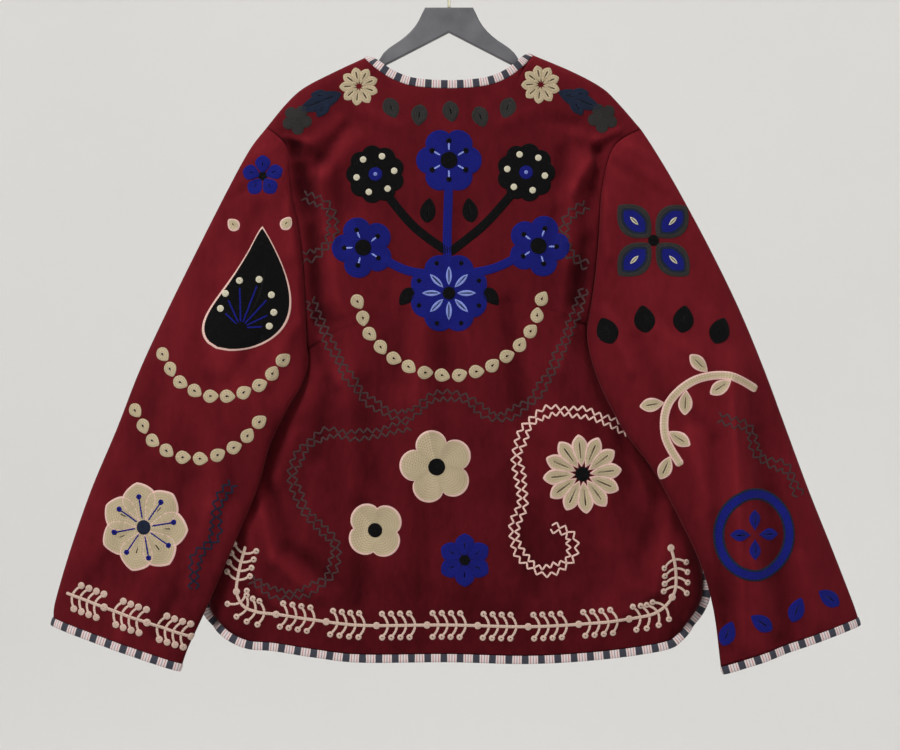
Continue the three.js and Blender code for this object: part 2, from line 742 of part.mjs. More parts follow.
const velvet = new THREE.MeshStandardMaterial(VELVET);
const striped = new THREE.MeshStandardMaterial(BINDING);
const grey = new THREE.MeshStandardMaterial(HANGER);
const brass = new THREE.MeshStandardMaterial(BRASS);
const group = new THREE.Group();

function addMesh(name, geometry, material) {
  const mesh = new THREE.Mesh(geometry, material);
  mesh.name = name;
  group.add(mesh);
}

/** Turns a binding's frames the other way along, for an edge that runs clockwise. */
function reversed(edge) {
  return { points: [...edge.points].reverse(), normals: [...edge.normals].reverse() };
}

const back = backPanel();
const fronts = { left: frontPanel('left'), right: frontPanel('right') };
addMesh('back_panel', wallGeometry(back.points, back.normals, 1), velvet);
addMesh('front_left', wallGeometry(fronts.left.points, fronts.left.normals, -1), velvet);
addMesh('front_right', wallGeometry(fronts.right.points, fronts.right.normals, 1), velvet);

for (const side of ['left', 'right']) {
  const column = side === 'left' ? 0 : back.points[0].length - 1;
  const seamLine = (panel, at) => ARMHOLE_SHARES.map((_, row) => (
    panel.points[row][at].clone().add(armholeShift(side, row))
  ));
  const backHole = seamLine(back, column);
  const frontHole = seamLine(fronts[side], 0);
  const behind = sleeveHalf(side, BACK, backHole);
  const before = sleeveHalf(side, FRONT, frontHole);
  addMesh(`sleeve_${side}_back`, wallGeometry(behind.points, behind.normals, behind.turn), velvet);
  addMesh(`sleeve_${side}_front`, wallGeometry(before.points, before.normals, before.turn), velvet);

  const ring = [...behind.points.at(-1), ...[...before.points.at(-1)].reverse().slice(1, -1)];
  const facing = [...behind.normals.at(-1), ...[...before.normals.at(-1)].reverse().slice(1, -1)];
  const loop = { points: ring.map((point) => point.clone()), normals: facing };
  loop.points[0].y += SEAM;
  loop.points[ARMHOLE_ROWS].y += SEAM;
  const cuff = side === 'left' ? reversed(loop) : loop;
  const frames = edgeFrames(cuff.points, cuff.normals, true);
  addMesh(`cuff_binding_${side}`, bindingGeometry(frames, true), striped);
}

/** The neck edge from one front edge, over both shoulders and the back, to the other. */
function neckEdge() {
  const points = [];
  const normals = [];
  const take = (panel, column) => {
    points.push(panel.points[0][column].clone());
    normals.push(panel.normals[0][column].clone());
  };
  const frontLast = fronts.left.points[0].length - 1;
  for (let column = frontLast; column > SHOULDER_COLUMNS; column -= 1) {
    take(fronts.left, column);
  }
  for (let column = 0; column <= BACK_NECK_COLUMNS; column += 1) {
    take(back, SHOULDER_COLUMNS + column);
  }
  for (let column = SHOULDER_COLUMNS + 1; column <= frontLast; column += 1) {
    take(fronts.right, column);
  }
  const seams = [FRONT_NECK_COLUMNS, FRONT_NECK_COLUMNS + BACK_NECK_COLUMNS];
  seams.forEach((i) => points[i].setY(0));
  const reach = BINDING_WIDTH + EDGE_GAP;
  points.unshift(points[0].clone().add(new THREE.Vector3(reach, 0, 0)));
  normals.unshift(normals[0]);
  points.push(points.at(-1).clone().add(new THREE.Vector3(-reach, 0, 0)));
  normals.push(normals.at(-1));
  return { points, normals };
}

function addBinding(name, edge) {
  addMesh(name, bindingGeometry(edgeFrames(edge.points, edge.normals, false), false), striped);
}

addBinding('neck_binding', neckEdge());
const backHem = { startRow: ventRow('left'), endRow: ventRow('right') };
addBinding('hem_binding_back', reversed(boundEdge(back, backHem)));
const leftEdge = boundEdge(fronts.left, { startRow: ventRow('left'), endRow: 0 });
addBinding('front_binding_left', leftEdge);
const rightEdge = boundEdge(fronts.right, { startRow: ventRow('right'), endRow: 0 });
addBinding('front_binding_right', reversed(rightEdge));

/** The flat hanger: a plate with a bevelled edge, its arms under the shoulders. */
function hangerGeometry() {
  const over = pointsAlong(HANGER_TOP, evenShares(HANGER_TOP_STEPS));
  const under = pointsAlong(HANGER_UNDER, evenShares(HANGER_UNDER_STEPS));
  const right = [...over, new THREE.Vector2(HANGER_TIP.x, HANGER_TIP.z), ...under];
  const left = [...right].reverse().map((point) => new THREE.Vector2(-point.x, point.y));
  const underside = new THREE.Vector2(0, HANGER_NOTCH_Z);
  const shape = new THREE.Shape([...left, ...right, underside]);
  const geometry = new THREE.ExtrudeGeometry(shape, {
    depth: 2 * (HANGER_HALF_THICKNESS - HANGER_CHAMFER),
    bevelEnabled: true,
    bevelThickness: HANGER_CHAMFER,
    bevelSize: HANGER_CHAMFER,
    bevelOffset: -HANGER_CHAMFER,
    bevelSegments: 1,
  });
  geometry.translate(0, 0, HANGER_CHAMFER - HANGER_HALF_THICKNESS);
  geometry.rotateX(Math.PI / 2);
  return geometry;
}

function hookGeometry() {
  const route = HOOK_STEM.map((row) => new THREE.Vector3(row.x, 0, row.z));
  for (let turn = HOOK_START_DEGREES; turn <= HOOK_END_DEGREES; turn += HOOK_STEP_DEGREES) {
    const angle = THREE.MathUtils.degToRad(turn);
    const x = HOOK_RADIUS * Math.cos(angle);
    const z = HOOK_CENTRE_Z + HOOK_RADIUS * Math.sin(angle);
    route.push(new THREE.Vector3(x, 0, z));
  }
  const outline = evenShares(WIRE_SIDES).slice(0, -1).map((share) => {
    const angle = 2 * Math.PI * share;
    return new THREE.Vector2(WIRE_RADIUS * Math.cos(angle), WIRE_RADIUS * Math.sin(angle));
  });
  return new THREE.ExtrudeGeometry(new THREE.Shape(outline), {
    steps: WIRE_STEPS,
    bevelEnabled: false,
    extrudePath: new THREE.CatmullRomCurve3(route),
  });
}

addMesh('hanger_body', hangerGeometry(), grey);
addMesh('hanger_hook', hookGeometry(), brass);

export default group;
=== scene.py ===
import math

import bmesh
import bpy
import numpy as np
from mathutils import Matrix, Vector
from mathutils.bvhtree import BVHTree


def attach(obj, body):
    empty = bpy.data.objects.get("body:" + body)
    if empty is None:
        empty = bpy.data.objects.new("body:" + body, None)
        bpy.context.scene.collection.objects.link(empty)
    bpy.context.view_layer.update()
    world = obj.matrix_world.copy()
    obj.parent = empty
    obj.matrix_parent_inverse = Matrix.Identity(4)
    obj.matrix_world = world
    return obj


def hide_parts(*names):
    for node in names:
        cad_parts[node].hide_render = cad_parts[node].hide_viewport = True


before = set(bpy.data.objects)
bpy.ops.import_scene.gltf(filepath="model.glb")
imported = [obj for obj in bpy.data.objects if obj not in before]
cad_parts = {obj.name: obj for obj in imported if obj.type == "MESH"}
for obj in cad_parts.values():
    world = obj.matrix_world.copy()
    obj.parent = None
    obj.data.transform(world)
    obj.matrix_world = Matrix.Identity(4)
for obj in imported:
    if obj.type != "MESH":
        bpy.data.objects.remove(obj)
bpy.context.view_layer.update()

# Lengths are in millimetres up to the mesh builders, and in metres in the meshes.
MM = 0.001

BACK = -1
FRONT = 1
SEAM = 0.15
CLOTH = 1.7

ARMHOLE_STEPS = 76
SIDE_STEPS = 72
SHOULDER_STEPS = 42
BACK_NECK_STEPS = 76
FRONT_NECK_STEPS = 36
SLEEVE_STEPS = 136
ARMHOLE_CROWDING = 0.72
SIDE_CROWDING = 0.6
RING_CROWDING = 1.35
BACK_SHOULDER_PART = 0.265
FRONT_SHOULDER_PART = 0.6

SHOULDER_DEPTH = 10.5
SHOULDER_ROLL = 18
SIDE_ROLL = 45
UNDERARM_ROLL = 110
UNDERARM_REACH = 90
NECK_REACH = 40
NECK_TURN = 20
BACK_DEPTH = [(0, 12), (0.2, 17), (0.5, 20), (1, 22)]
FRONT_DEPTH = [(0, 11), (0.2, 13), (0.5, 14), (1, 14)]
ARMHOLE_DEPTH = {BACK: 14, FRONT: 12}
SIDE_SEAM_SHIFT = 7
SIDE_SEAM_SHIFT_REACH = 36
VENT_TOP = -695
VENT_RUN = 30
VENT_GAP = 7
VENT_OPEN = 4.5
PUFF_HEIGHT = 6
PUFF_AT = 0.05
SETTLE_BY = 0.15
FOLDS_START_BY = 0.08
CREASES_START_BY = 0.03
CREASE_STRENGTH = 1.35
SEAM_HOLD = 9
TUBE_ROUNDNESS = 2.3
OUTER_Y = -3
FRONT_EDGE_X = 12
FRONT_NECK_Z = -233
FRONT_HEM_LIFT = 5
FRONT_CORNER = 34
FOLD_FADE = 16

# Outlines seen from behind, as (x, z).
SHOULDER = {
    "left": [(-97, -126.5), (-132, -142.8), (-166.8, -161), (-187.5, -179.6), (-210, -207)],
    "right": [(97, -123.5), (142.6, -142.8), (176, -161), (195.5, -179.6), (221, -209)],
}
ARMHOLE = {
    "left": [(-210, -207), (-187, -228), (-183, -256), (-179, -290), (-171, -330), (-166, -382),
             (-163, -462)],
    "right": [(221, -209), (189, -230), (175, -278.5), (171, -336), (166, -388), (159, -434)],
}
SIDE = {
    "left": [(-163, -462), (-164.5, -478), (-176, -504), (-205, -550), (-250, -640), (-271, -704),
             (-276, -745), (-274, -762), (-265, -773)],
    "right": [(159, -434), (160.5, -450), (172, -484), (190, -520), (216, -562), (245, -602),
              (273, -650), (289, -695), (292, -738), (286, -758), (274, -774)],
}
BACK_NECK = [(-97, -126.5), (-85, -139), (-65, -152.2), (-40, -160.4), (0, -163), (40, -160.2),
             (65, -151.8), (85, -137.6), (97, -123.5)]
HEM = [(-265, -773), (-250, -785), (-228, -794), (-199, -796.5), (-151, -804), (-100, -809.5),
       (0, -809), (92, -811), (174, -806), (243, -796), (260, -788), (274, -774)]
FRONT_NECK = [(-97, -126.5), (-93, -150), (-80, -181), (-59, -207), (-35, -225),
              (-FRONT_EDGE_X, FRONT_NECK_Z)]

# Sleeve sections: t, then outer x and z, inner x and z, the inner edge's y, half the thickness.
SLEEVE = {
    "left": [
        (0, -210, -207, -163, -462, 0, 13), (0.06, -229, -232, -161.5, -470, -3, 14),
        (0.14, -254, -278, -162, -482, -7, 16), (0.24, -289, -347, -169.5, -505, -16, 18),
        (0.34, -323, -416, -184, -530, -24, 20), (0.46, -355, -485, -203, -570, -29, 21),
        (0.57, -382, -554, -217, -619, -30, 21), (0.68, -411, -623, -246, -688, -29, 19),
        (0.79, -435, -692, -275, -755, -27, 17), (0.9, -452, -750, -296, -800, -25, 15),
        (1, -454.5, -769.5, -303, -819.5, -25, 14),
    ],
    "right": [
        (0, 221, -209, 159, -434, 0, 13), (0.06, 236, -232, 158.5, -445, -3, 14),
        (0.14, 263, -278, 160, -460, -8, 16), (0.24, 300, -347, 167, -488, -17, 18),
        (0.34, 333.5, -416, 180, -520, -24, 20), (0.46, 362, -485, 202, -560, -29, 21),
        (0.57, 387.5, -554, 232, -600, -30, 21), (0.68, 413, -623, 262, -655, -29, 19),
        (0.79, 440.5, -692, 286.5, -708, -27, 17), (0.9, 463, -750, 301, -760, -25, 15),
        (1, 469.8, -769.6, 309, -823, -25, 14),
    ],
}

# Folds as (x0, z0, x1, z1, width, height): soft ridges, and troughs where the height is negative.
FOLDS = {
    "back": [
        (-205, -216, -143, -250, 10, -3), (213, -212, 183, -227, 10, -3),
        (-163, -270, -150, -430, 13, -5), (158, -280, 146, -410, 13, -5),
        (-118, -225, -142, -267, 13, 4), (-142, -267, -138, -405, 14, 5),
        (150, -250, 146, -359, 14, 5), (128, -290, 160, -246, 12, 3),
        (-114, -330, -114, -520, 18, 4), (36, -330, 40, -540, 22, 3),
        (-40, -420, -60, -700, 26, 3), (110, -430, 130, -660, 24, 3),
        (262, -690, 174, -760, 18, 4), (-220, -660, -172, -738, 18, 4),
    ],
    "front": [
        (-150, -230, -142, -420, 15, 4), (150, -230, 140, -430, 15, 4),
        (-100, -330, -120, -640, 22, 3), (104, -300, 130, -650, 22, 3),
        (-60, -520, -80, -760, 22, 3), (64, -480, 70, -740, 22, 3),
        (-205, -600, -190, -740, 18, 3), (206, -590, 200, -730, 18, 3),
    ],
    "sleeve_back": [
        (-200, -240, -215, -290, 10, 4), (-185, -330, -172, -430, 10, 4),
        (-250, -380, -262, -640, 20, 4), (-330, -500, -380, -720, 22, -4),
        (215, -238, 196, -285, 10, 4), (235, -290, 275, -318, 10, -3),
        (260, -470, 305, -640, 20, 4), (318, -480, 350, -800, 16, 5),
        (352, -500, 382, -790, 16, -5),
    ],
    "sleeve_front": [
        (-230, -330, -300, -560, 20, 4), (-300, -560, -350, -760, 20, -4),
        (240, -330, 310, -570, 20, 4), (320, -560, 362, -770, 20, -4),
    ],
}
CREASES = {
    "back": [
        (-188, -219, -160, -225, 4, 2.6), (-176, -236, -166, -304, 9, -5), (-168, -236, -126, -202, 8, 2.6),
        (-152, -254, -117, -207, 5, -3), (-140, -262, -100, -218, 8, 2), (-147, -258, -143, -330, 5, 2.4),
        (-129, -262, -122, -340, 8, -2.4), (-160, -330, -150, -440, 9, -3), (-134, -330, -124, -420, 7, 2),
        (-204, -250, -164, -246, 4, 1.4), (-204, -268, -162, -266, 4, 1.2),
        (197, -211, 168, -224, 4, 3), (168, -224, 142, -216, 6, 2.4), (170, -236, 168, -300, 7, -5.5),
        (162, -248, 141, -281, 6, 3), (141, -281, 133, -340, 7, 2.2), (130, -236, 126, -276, 7, -2.6),
        (118, -200, 146, -204, 7, -2), (122, -290, 116, -360, 8, -2), (158, -340, 150, -430, 9, -3.5),
        (136, -340, 130, -420, 7, 2), (204, -254, 164, -250, 4, 1.4), (202, -272, 162, -270, 4, 1.2),
        (-96, -190, -60, -206, 8, 1.6), (98, -188, 60, -204, 8, 1.6), (0, -196, 6, -230, 12, 1.4),
        (-150, -440, -128, -500, 8, 2.4), (148, -420, 126, -486, 8, 2.6),
        (-119, -497, -112, -623, 11, 2.4), (-98, -500, -92, -610, 8, -2), (-140, -500, -150, -590, 8, -1.8),
        (-27, -428, -38, -524, 9, 2.2), (-52, -420, -60, -500, 8, -1.6), (-6, -436, -12, -560, 10, -1.8),
        (20, -430, 26, -520, 8, 1.8), (66, -410, 84, -540, 9, -2), (88, -440, 104, -560, 9, 2),
        (12, -600, 24, -720, 12, 1.8), (-24, -600, -30, -740, 12, -1.8),
        (-217, -625, -200, -700, 7, 2.8), (-200, -700, -148, -742, 7, 2.8), (-204, -620, -186, -690, 8, -2.4),
        (-186, -690, -136, -724, 8, -2.4), (-232, -660, -214, -740, 6, 1.8), (-214, -740, -160, -776, 7, 1.8),
        (-176, -560, -196, -612, 8, 2), (-148, -600, -164, -680, 9, 1.8), (-96, -640, -104, -752, 10, -2),
        (70, -600, 96, -742, 11, -2), (150, -560, 176, -690, 10, 2.2), (126, -600, 140, -720, 10, -1.6),
        (254, -640, 234, -738, 7, 2.4), (234, -738, 180, -776, 8, 2), (236, -630, 214, -720, 8, -2.4),
        (214, -600, 226, -650, 7, 2), (196, -560, 206, -620, 7, -1.8), (180, -640, 200, -730, 9, 1.8),
    ],
    "front": [
        (-194, -228, -150, -202, 10, 2.2), (-182, -240, -142, -262, 11, -2),
        (196, -224, 154, -204, 10, 2.2), (180, -244, 146, -264, 11, -2),
        (-170, -256, -150, -366, 12, -3), (166, -262, 146, -350, 12, -3),
        (-134, -284, -112, -372, 12, -2), (134, -290, 120, -386, 12, -2),
        (-150, -440, -126, -510, 8, 2.2), (148, -430, 124, -500, 8, 2.2),
        (-40, -300, -46, -470, 12, 1.6), (44, -320, 40, -480, 12, 1.6),
        (-80, -420, -92, -560, 9, -1.8), (84, -420, 90, -560, 9, -1.8),
        (-176, -620, -200, -720, 10, -2.2), (182, -610, 206, -716, 10, -2.2),
        (-226, -650, -200, -730, 8, 2), (232, -640, 210, -730, 8, 2),
        (-110, -690, -96, -780, 9, 1.8), (120, -680, 104, -776, 9, 1.8),
    ],
    "sleeve_back": [
        (-204, -250, -164, -246, 4, 1.4), (-204, -268, -162, -266, 4, 1.2),
        (-203, -220, -207, -238, 4, 1.6), (-213, -216, -217, -234, 4, 1.4), (-190, -240, -186, -300, 6, 2.4),
        (-222, -240, -262, -262, 6, 2), (-212, -262, -250, -290, 6, -2), (-196, -300, -190, -360, 6, 2.2),
        (-218, -290, -232, -350, 8, -2), (-262, -300, -290, -352, 8, 1.8),
        (-178, -440, -206, -500, 8, 2.6), (-214, -450, -250, -500, 8, -2.2), (-229, -508, -196, -600, 9, 2.4),
        (-269, -500, -246, -635, 11, -3), (-300, -430, -330, -580, 14, 2.6), (-352, -470, -372, -560, 10, -2),
        (-270, -640, -296, -730, 8, 2.4), (-296, -610, -322, -700, 8, -2), (-250, -630, -268, -700, 7, -2),
        (-352, -600, -392, -690, 10, 2), (-300, -720, -330, -790, 8, -2.2), (-392, -700, -420, -756, 9, -1.8),
        (-340, -720, -372, -790, 9, 2),
        (204, -254, 164, -250, 4, 1.4), (202, -272, 162, -270, 4, 1.2), (190, -234, 183, -296, 5, 2.6),
        (206, -226, 196, -258, 5, -1.8), (222, -240, 262, -258, 6, 2), (210, -262, 250, -288, 6, -2),
        (198, -300, 190, -360, 6, 2.4), (244, -300, 286, -326, 6, 1.8),
        (178, -420, 206, -486, 8, 2.4), (214, -450, 246, -540, 9, -2.2), (236, -440, 286, -470, 8, 1.8),
        (272, -560, 292, -640, 8, 3), (300, -570, 312, -800, 9, -3), (320, -497, 334, -800, 5, 3),
        (254, -520, 300, -560, 8, -2), (286, -650, 300, -720, 7, 2), (300, -420, 336, -500, 12, 2),
        (392, -560, 424, -680, 12, 2), (352, -560, 372, -640, 9, -1.8), (400, -700, 424, -770, 10, 2),
        (344, -700, 372, -780, 9, 2),
    ],
    "sleeve_front": [
        (-212, -246, -262, -262, 7, 1.8), (-200, -262, -190, -330, 7, 2), (-180, -440, -214, -510, 9, 2.2),
        (-220, -460, -250, -560, 9, -2), (-270, -470, -300, -560, 12, -2), (-280, -620, -306, -730, 9, 2.2),
        (-340, -600, -380, -700, 12, 2), (-310, -730, -340, -790, 8, -2),
        (214, -246, 262, -262, 7, 1.8), (202, -262, 192, -330, 7, 2), (180, -424, 214, -500, 9, 2.2),
        (220, -460, 250, -560, 9, -2), (280, -470, 312, -560, 12, -2), (290, -610, 316, -720, 9, 2.2),
        (352, -600, 394, -700, 12, 2), (326, -730, 350, -790, 8, -2),
    ],
}


def srgb(red, green, blue):
    """The linear colour of an 8-bit screen colour."""
    shares = [c / 255 for c in (red, green, blue)]
    return tuple(c / 12.92 if c <= 0.04045 else ((c + 0.055) / 1.055) ** 2.4 for c in shares) + (1,)


def placed(name, data):
    thing = bpy.data.objects.new(name, data)
    bpy.context.scene.collection.objects.link(thing)
    return thing


# The camera is level and square to the jacket's back.
camera = placed("camera", bpy.data.cameras.new("camera"))
camera.data.lens = 76.5
camera.data.sensor_width = 36
camera.location = (0.00115, -2.2, -0.49125)
camera.rotation_euler = (math.radians(90), 0, 0)
bpy.context.scene.camera = camera


def smooth_step(value):
    s = np.clip(value, 0, 1)
    return s * s * (3 - 2 * s)


def unit(vectors):
    return vectors / np.maximum(np.linalg.norm(vectors, axis=-1, keepdims=True), 1e-9)


def run_lengths(points):
    """The length of the line up to each of its points."""
    return np.concatenate([[0], np.cumsum(np.linalg.norm(np.diff(points, axis=0), axis=1))])


def at_places(values, lengths, places):
    """Rows of values that stand at the given lengths, read off at other places."""
    return np.stack([np.interp(places, lengths, column) for column in np.transpose(values)], axis=-1)


def quarter_round(distance, reach):
    """The height of a quarter circle, from 0 at its foot to 1 at its reach and beyond."""
    s = 1 - np.clip(distance / reach, 0, 1)
    return np.sqrt(np.clip(1 - s * s, 0, 1))


def cubic(around, s):
    """A Catmull-Rom curve between the two middle values of four."""
    a, b, c, d = around
    start = (c - a) / 2
    end = (d - b) / 2
    return (((2 * b - 2 * c + start + end) * s + 3 * c - 3 * b - 2 * start - end) * s + start) * s + b


def table_at(rows, t):
    """The smooth values of a table's other columns at t, its first column."""
    rows = np.asarray(rows, float)
    t = np.asarray(t, float)
    last = len(rows) - 1
    i = np.clip(np.searchsorted(rows[:, 0], t, side="right") - 1, 0, last - 1)
    s = ((t - rows[i, 0]) / (rows[i + 1, 0] - rows[i, 0]))[..., None]
    return cubic([rows[np.clip(i + k, 0, last), 1:] for k in (-1, 0, 1, 2)], s)


def spline(rows, t):
    points = np.asarray(rows, float)
    last = len(points) - 1
    place = last * np.asarray(t, float)
    i = np.minimum(place.astype(int), last - 1)
    s = (place - i)[..., None]
    return cubic([points[np.clip(i + k, 0, last)] for k in (-1, 0, 1, 2)], s)


def along(rows, shares):
    """Points of the smooth curve through a table's rows, at the given shares of its length."""
    t = even(200)
    lengths = run_lengths(spline(rows, t))
    return spline(rows, np.interp(np.asarray(shares) * lengths[-1], lengths, t))


def even(count):
    return np.linspace(0, 1, count + 1)


def crowded(count, crowding):
    """Steps from 0 to 1 that lie closer together at both ends."""
    s = even(count)
    return s - crowding * np.sin(2 * np.pi * s) / (2 * np.pi)


def fold_height(rows, x, z):
    """The summed height of all folds at the given places."""
    height = np.zeros_like(x)
    for x0, z0, x1, z1, width, rise in rows:
        run_x, run_z = x1 - x0, z1 - z0
        s = np.clip(((x - x0) * run_x + (z - z0) * run_z) / (run_x**2 + run_z**2), 0, 1)
        away = np.hypot(x - x0 - s * run_x, z - z0 - s * run_z) / width
        height += rise * np.exp(-away * away)
    return height


ARMHOLE_SHARES = crowded(ARMHOLE_STEPS, ARMHOLE_CROWDING)
SIDE_SHARES = crowded(SIDE_STEPS, SIDE_CROWDING)
EDGE = {
    side: np.concatenate([along(ARMHOLE[side], ARMHOLE_SHARES), along(SIDE[side], SIDE_SHARES)[1:]])
    for side in ("left", "right")
}
SHOULDER_LINE = {side: along(SHOULDER[side], even(SHOULDER_STEPS)) for side in ("left", "right")}
DROPS = np.mean([(e[0, 1] - e[:, 1]) / (e[0, 1] - e[-1, 1]) for e in EDGE.values()], axis=0)


def vent_gap(z):
    """How far either edge of a side vent stands off the seam."""
    return VENT_GAP * smooth_step((VENT_TOP - z) / VENT_RUN)


def edge_depth(face, side):
    """Where the side edge stands off the middle plane, row by row."""
    depth = SHOULDER_DEPTH + (ARMHOLE_DEPTH[face] - SHOULDER_DEPTH) * smooth_step(ARMHOLE_SHARES * 2)
    late = np.clip(ARMHOLE_SHARES * 2 - 1, 0, 1)
    upper = SEAM + (depth - SEAM) * np.sqrt(1 - late * late)
    z = EDGE[side][ARMHOLE_STEPS + 1:, 1]
    below = EDGE[side][ARMHOLE_STEPS, 1] - z
    shift = SIDE_SEAM_SHIFT * smooth_step(below / SIDE_SEAM_SHIFT_REACH)
    return np.concatenate([upper, SEAM + face * shift + vent_gap(z)])


def side_roll(side):
    """How far in an edge's rounding reaches, row by row: furthest under the arm."""
    away = np.abs(EDGE[side][:, 1] - EDGE[side][ARMHOLE_STEPS, 1])
    return SIDE_ROLL + (UNDERARM_ROLL - SIDE_ROLL) * (1 - smooth_step(away / UNDERARM_REACH))


def body_panel(face, top, bottom, left, right, shares, on_shoulder, sides):
    """A body panel as a grid of points: its flat outline, given depth, rounded edges and folds."""
    v = DROPS[:, None, None]
    u = shares[None, :, None]
    flat = top * (1 - v) + bottom * v
    left_bulge = left[:, None] - flat[:, :1]
    right_bulge = right[:, None] - flat[:, -1:]
    flat = flat + left_bulge * (1 - u) ** 2 + right_bulge * u**2
    x, z = flat[..., 0], flat[..., 1]
    depth = table_at(BACK_DEPTH if face == BACK else FRONT_DEPTH, DROPS)
    full = np.repeat(depth, len(shares), axis=1)
    inside = np.full(x.shape, np.inf)
    hold = np.zeros(len(DROPS))
    hold[:ARMHOLE_STEPS + 1] = SEAM_HOLD * (1 - smooth_step(2 * ARMHOLE_SHARES))
    for side, column in sides:
        away = np.abs(x - x[:, column][:, None])
        rolled = 1 - quarter_round(away, side_roll(side)[:, None])
        full += (edge_depth(face, side)[:, None] - depth) * rolled
        inside = np.minimum(inside, away + hold[:, None])
    neck_points = np.where(top[:, :1] < 0, [SHOULDER["left"][0]], [SHOULDER["right"][0]])
    turn = smooth_step(np.hypot(*(top - neck_points).T) / NECK_TURN)
    rim = np.where(on_shoulder, SEAM, SEAM + (SHOULDER_DEPTH - SEAM) * turn)
    reach = np.where(on_shoulder, SHOULDER_ROLL, NECK_REACH)
    drop = z[0] - z
    fade = smooth_step(inside / FOLD_FADE) * smooth_step(drop / FOLD_FADE)
    names = "back" if face == BACK else "front"
    folds = fold_height(FOLDS[names], x, z) + CREASE_STRENGTH * fold_height(CREASES[names], x, z)
    y = face * (rim + (full - rim) * quarter_round(drop, reach) + fade * folds)
    return np.stack([x, y, z], axis=-1), fade * folds


def back_panel():
    part = BACK_SHOULDER_PART
    shoulder = part * even(SHOULDER_STEPS)
    middle = part + (1 - 2 * part) * even(BACK_NECK_STEPS)
    shares = np.concatenate([shoulder, middle[1:-1], 1 - shoulder[::-1]])
    neck = along(BACK_NECK, even(BACK_NECK_STEPS))
    top = np.concatenate([SHOULDER_LINE["left"][::-1], neck[1:-1], SHOULDER_LINE["right"]])
    columns = np.arange(len(shares))
    last = len(shares) - 1
    on_shoulder = (columns <= SHOULDER_STEPS) | (columns >= last - SHOULDER_STEPS)
    sides = [("left", 0), ("right", last)]
    bottom = along(HEM, shares)
    return body_panel(BACK, top, bottom, EDGE["left"], EDGE["right"], shares, on_shoulder, sides)


def front_panel(side):
    """The front panel of one side, with a rounded corner where its hem meets the front edge."""
    sign = -1 if side == "left" else 1
    part = FRONT_SHOULDER_PART
    shares = np.concatenate([part * even(SHOULDER_STEPS), (part + (1 - part) * even(FRONT_NECK_STEPS))[1:]])
    neck = along([SHOULDER[side][0]] + [(-sign * x, z) for x, z in FRONT_NECK[1:]], even(FRONT_NECK_STEPS))
    top = np.concatenate([SHOULDER_LINE[side][::-1], neck[1:]])
    rows = HEM[:6] if side == "left" else HEM[7:][::-1]
    lifted = [rows[0]] + [(x, z + FRONT_HEM_LIFT) for x, z in rows[1:]]
    hem_z = lifted[-1][1]
    edge_x = sign * FRONT_EDGE_X
    bend = FRONT_CORNER * (1 - math.sqrt(0.5))
    lifted += [(edge_x + sign * FRONT_CORNER, hem_z), (edge_x + sign * bend, hem_z + bend)]
    z = FRONT_NECK_Z + (hem_z + bend - FRONT_NECK_Z) * DROPS
    bent = np.clip((hem_z + FRONT_CORNER - z) / (FRONT_CORNER - bend), 0, 1)
    front_edge = np.stack([edge_x + sign * bend * bent**2, z], axis=-1)
    on_shoulder = np.arange(len(shares)) <= SHOULDER_STEPS
    bottom = along(lifted, shares)
    return body_panel(FRONT, top, bottom, EDGE[side], front_edge, shares, on_shoulder, [(side, 0)])


def sleeve_half(side, face, armhole):
    """Half a sleeve as a grid of points from its armhole to its cuff, and its folds."""
    t = even(SLEEVE_STEPS) ** RING_CROWDING
    share = ARMHOLE_SHARES[None]
    outer_x, outer_z, inner_x, inner_z, inner_y, half = table_at(SLEEVE[side], t).T[..., None]
    x = outer_x + (inner_x - outer_x) * share
    z = outer_z + (inner_z - outer_z) * share
    ring = t[:, None]
    middle = OUTER_Y * smooth_step(ring / SETTLE_BY) * (1 - share) + inner_y * share
    rounded = np.sqrt(np.clip(1 - np.abs(2 * share - 1) ** TUBE_ROUNDNESS, 0, 1))
    puffed = ring / PUFF_AT
    puff = (face == BACK) * PUFF_HEIGHT * puffed * np.exp(1 - puffed) * np.sin(np.pi * share)
    names = "sleeve_back" if face == BACK else "sleeve_front"
    folds = smooth_step(ring / FOLDS_START_BY) * fold_height(FOLDS[names], x, z)
    creases = CREASE_STRENGTH * fold_height(CREASES[names], x, z)
    folds += smooth_step(ring / CREASES_START_BY) * creases
    points = np.stack([x, middle + face * (SEAM + puff + rounded * (half + folds)), z], axis=-1)
    settle = (1 - smooth_step(ring / SETTLE_BY))[..., None]
    return points + (armhole - points[:1]) * settle, rounded * folds


PANELS = {}
FOLDING = {}
PANELS["back"], FOLDING["back"] = back_panel()
for side_name in ("left", "right"):
    name = f"front_{side_name}"
    PANELS[name], FOLDING[name] = front_panel(side_name)
    holes = {BACK: PANELS["back"][:ARMHOLE_STEPS + 1, 0 if side_name == "left" else -1],
             FRONT: PANELS[name][:ARMHOLE_STEPS + 1, 0]}
    for face_name, face_value in (("back", BACK), ("front", FRONT)):
        name = f"sleeve_{side_name}_{face_name}"
        PANELS[name], FOLDING[name] = sleeve_half(side_name, face_value, holes[face_value])


# ---------------------------------------------------------------- looks


def add_node(tree, kind, inputs=(), **settings):
    """A shader node with its settings, and its inputs as values or links from other sockets."""
    node = tree.nodes.new(kind)
    for name, value in settings.items():
        setattr(node, name, value)
    for name, value in dict(inputs).items():
        if isinstance(value, bpy.types.NodeSocket):
            tree.links.new(value, node.inputs[name])
        else:
            node.inputs[name].default_value = value
    return node


def math_node(tree, operation, first, second=0.0):
    return add_node(tree, "ShaderNodeMath", {0: first, 1: second}, operation=operation).outputs[0]


def mix_colour(tree, share, first, second):
    """Two colours mixed: inputs 6 and 7 of a mix node are its colours, and output 2 the result."""
    return add_node(tree, "ShaderNodeMix", {0: share, 6: first, 7: second}, data_type="RGBA").outputs[2]


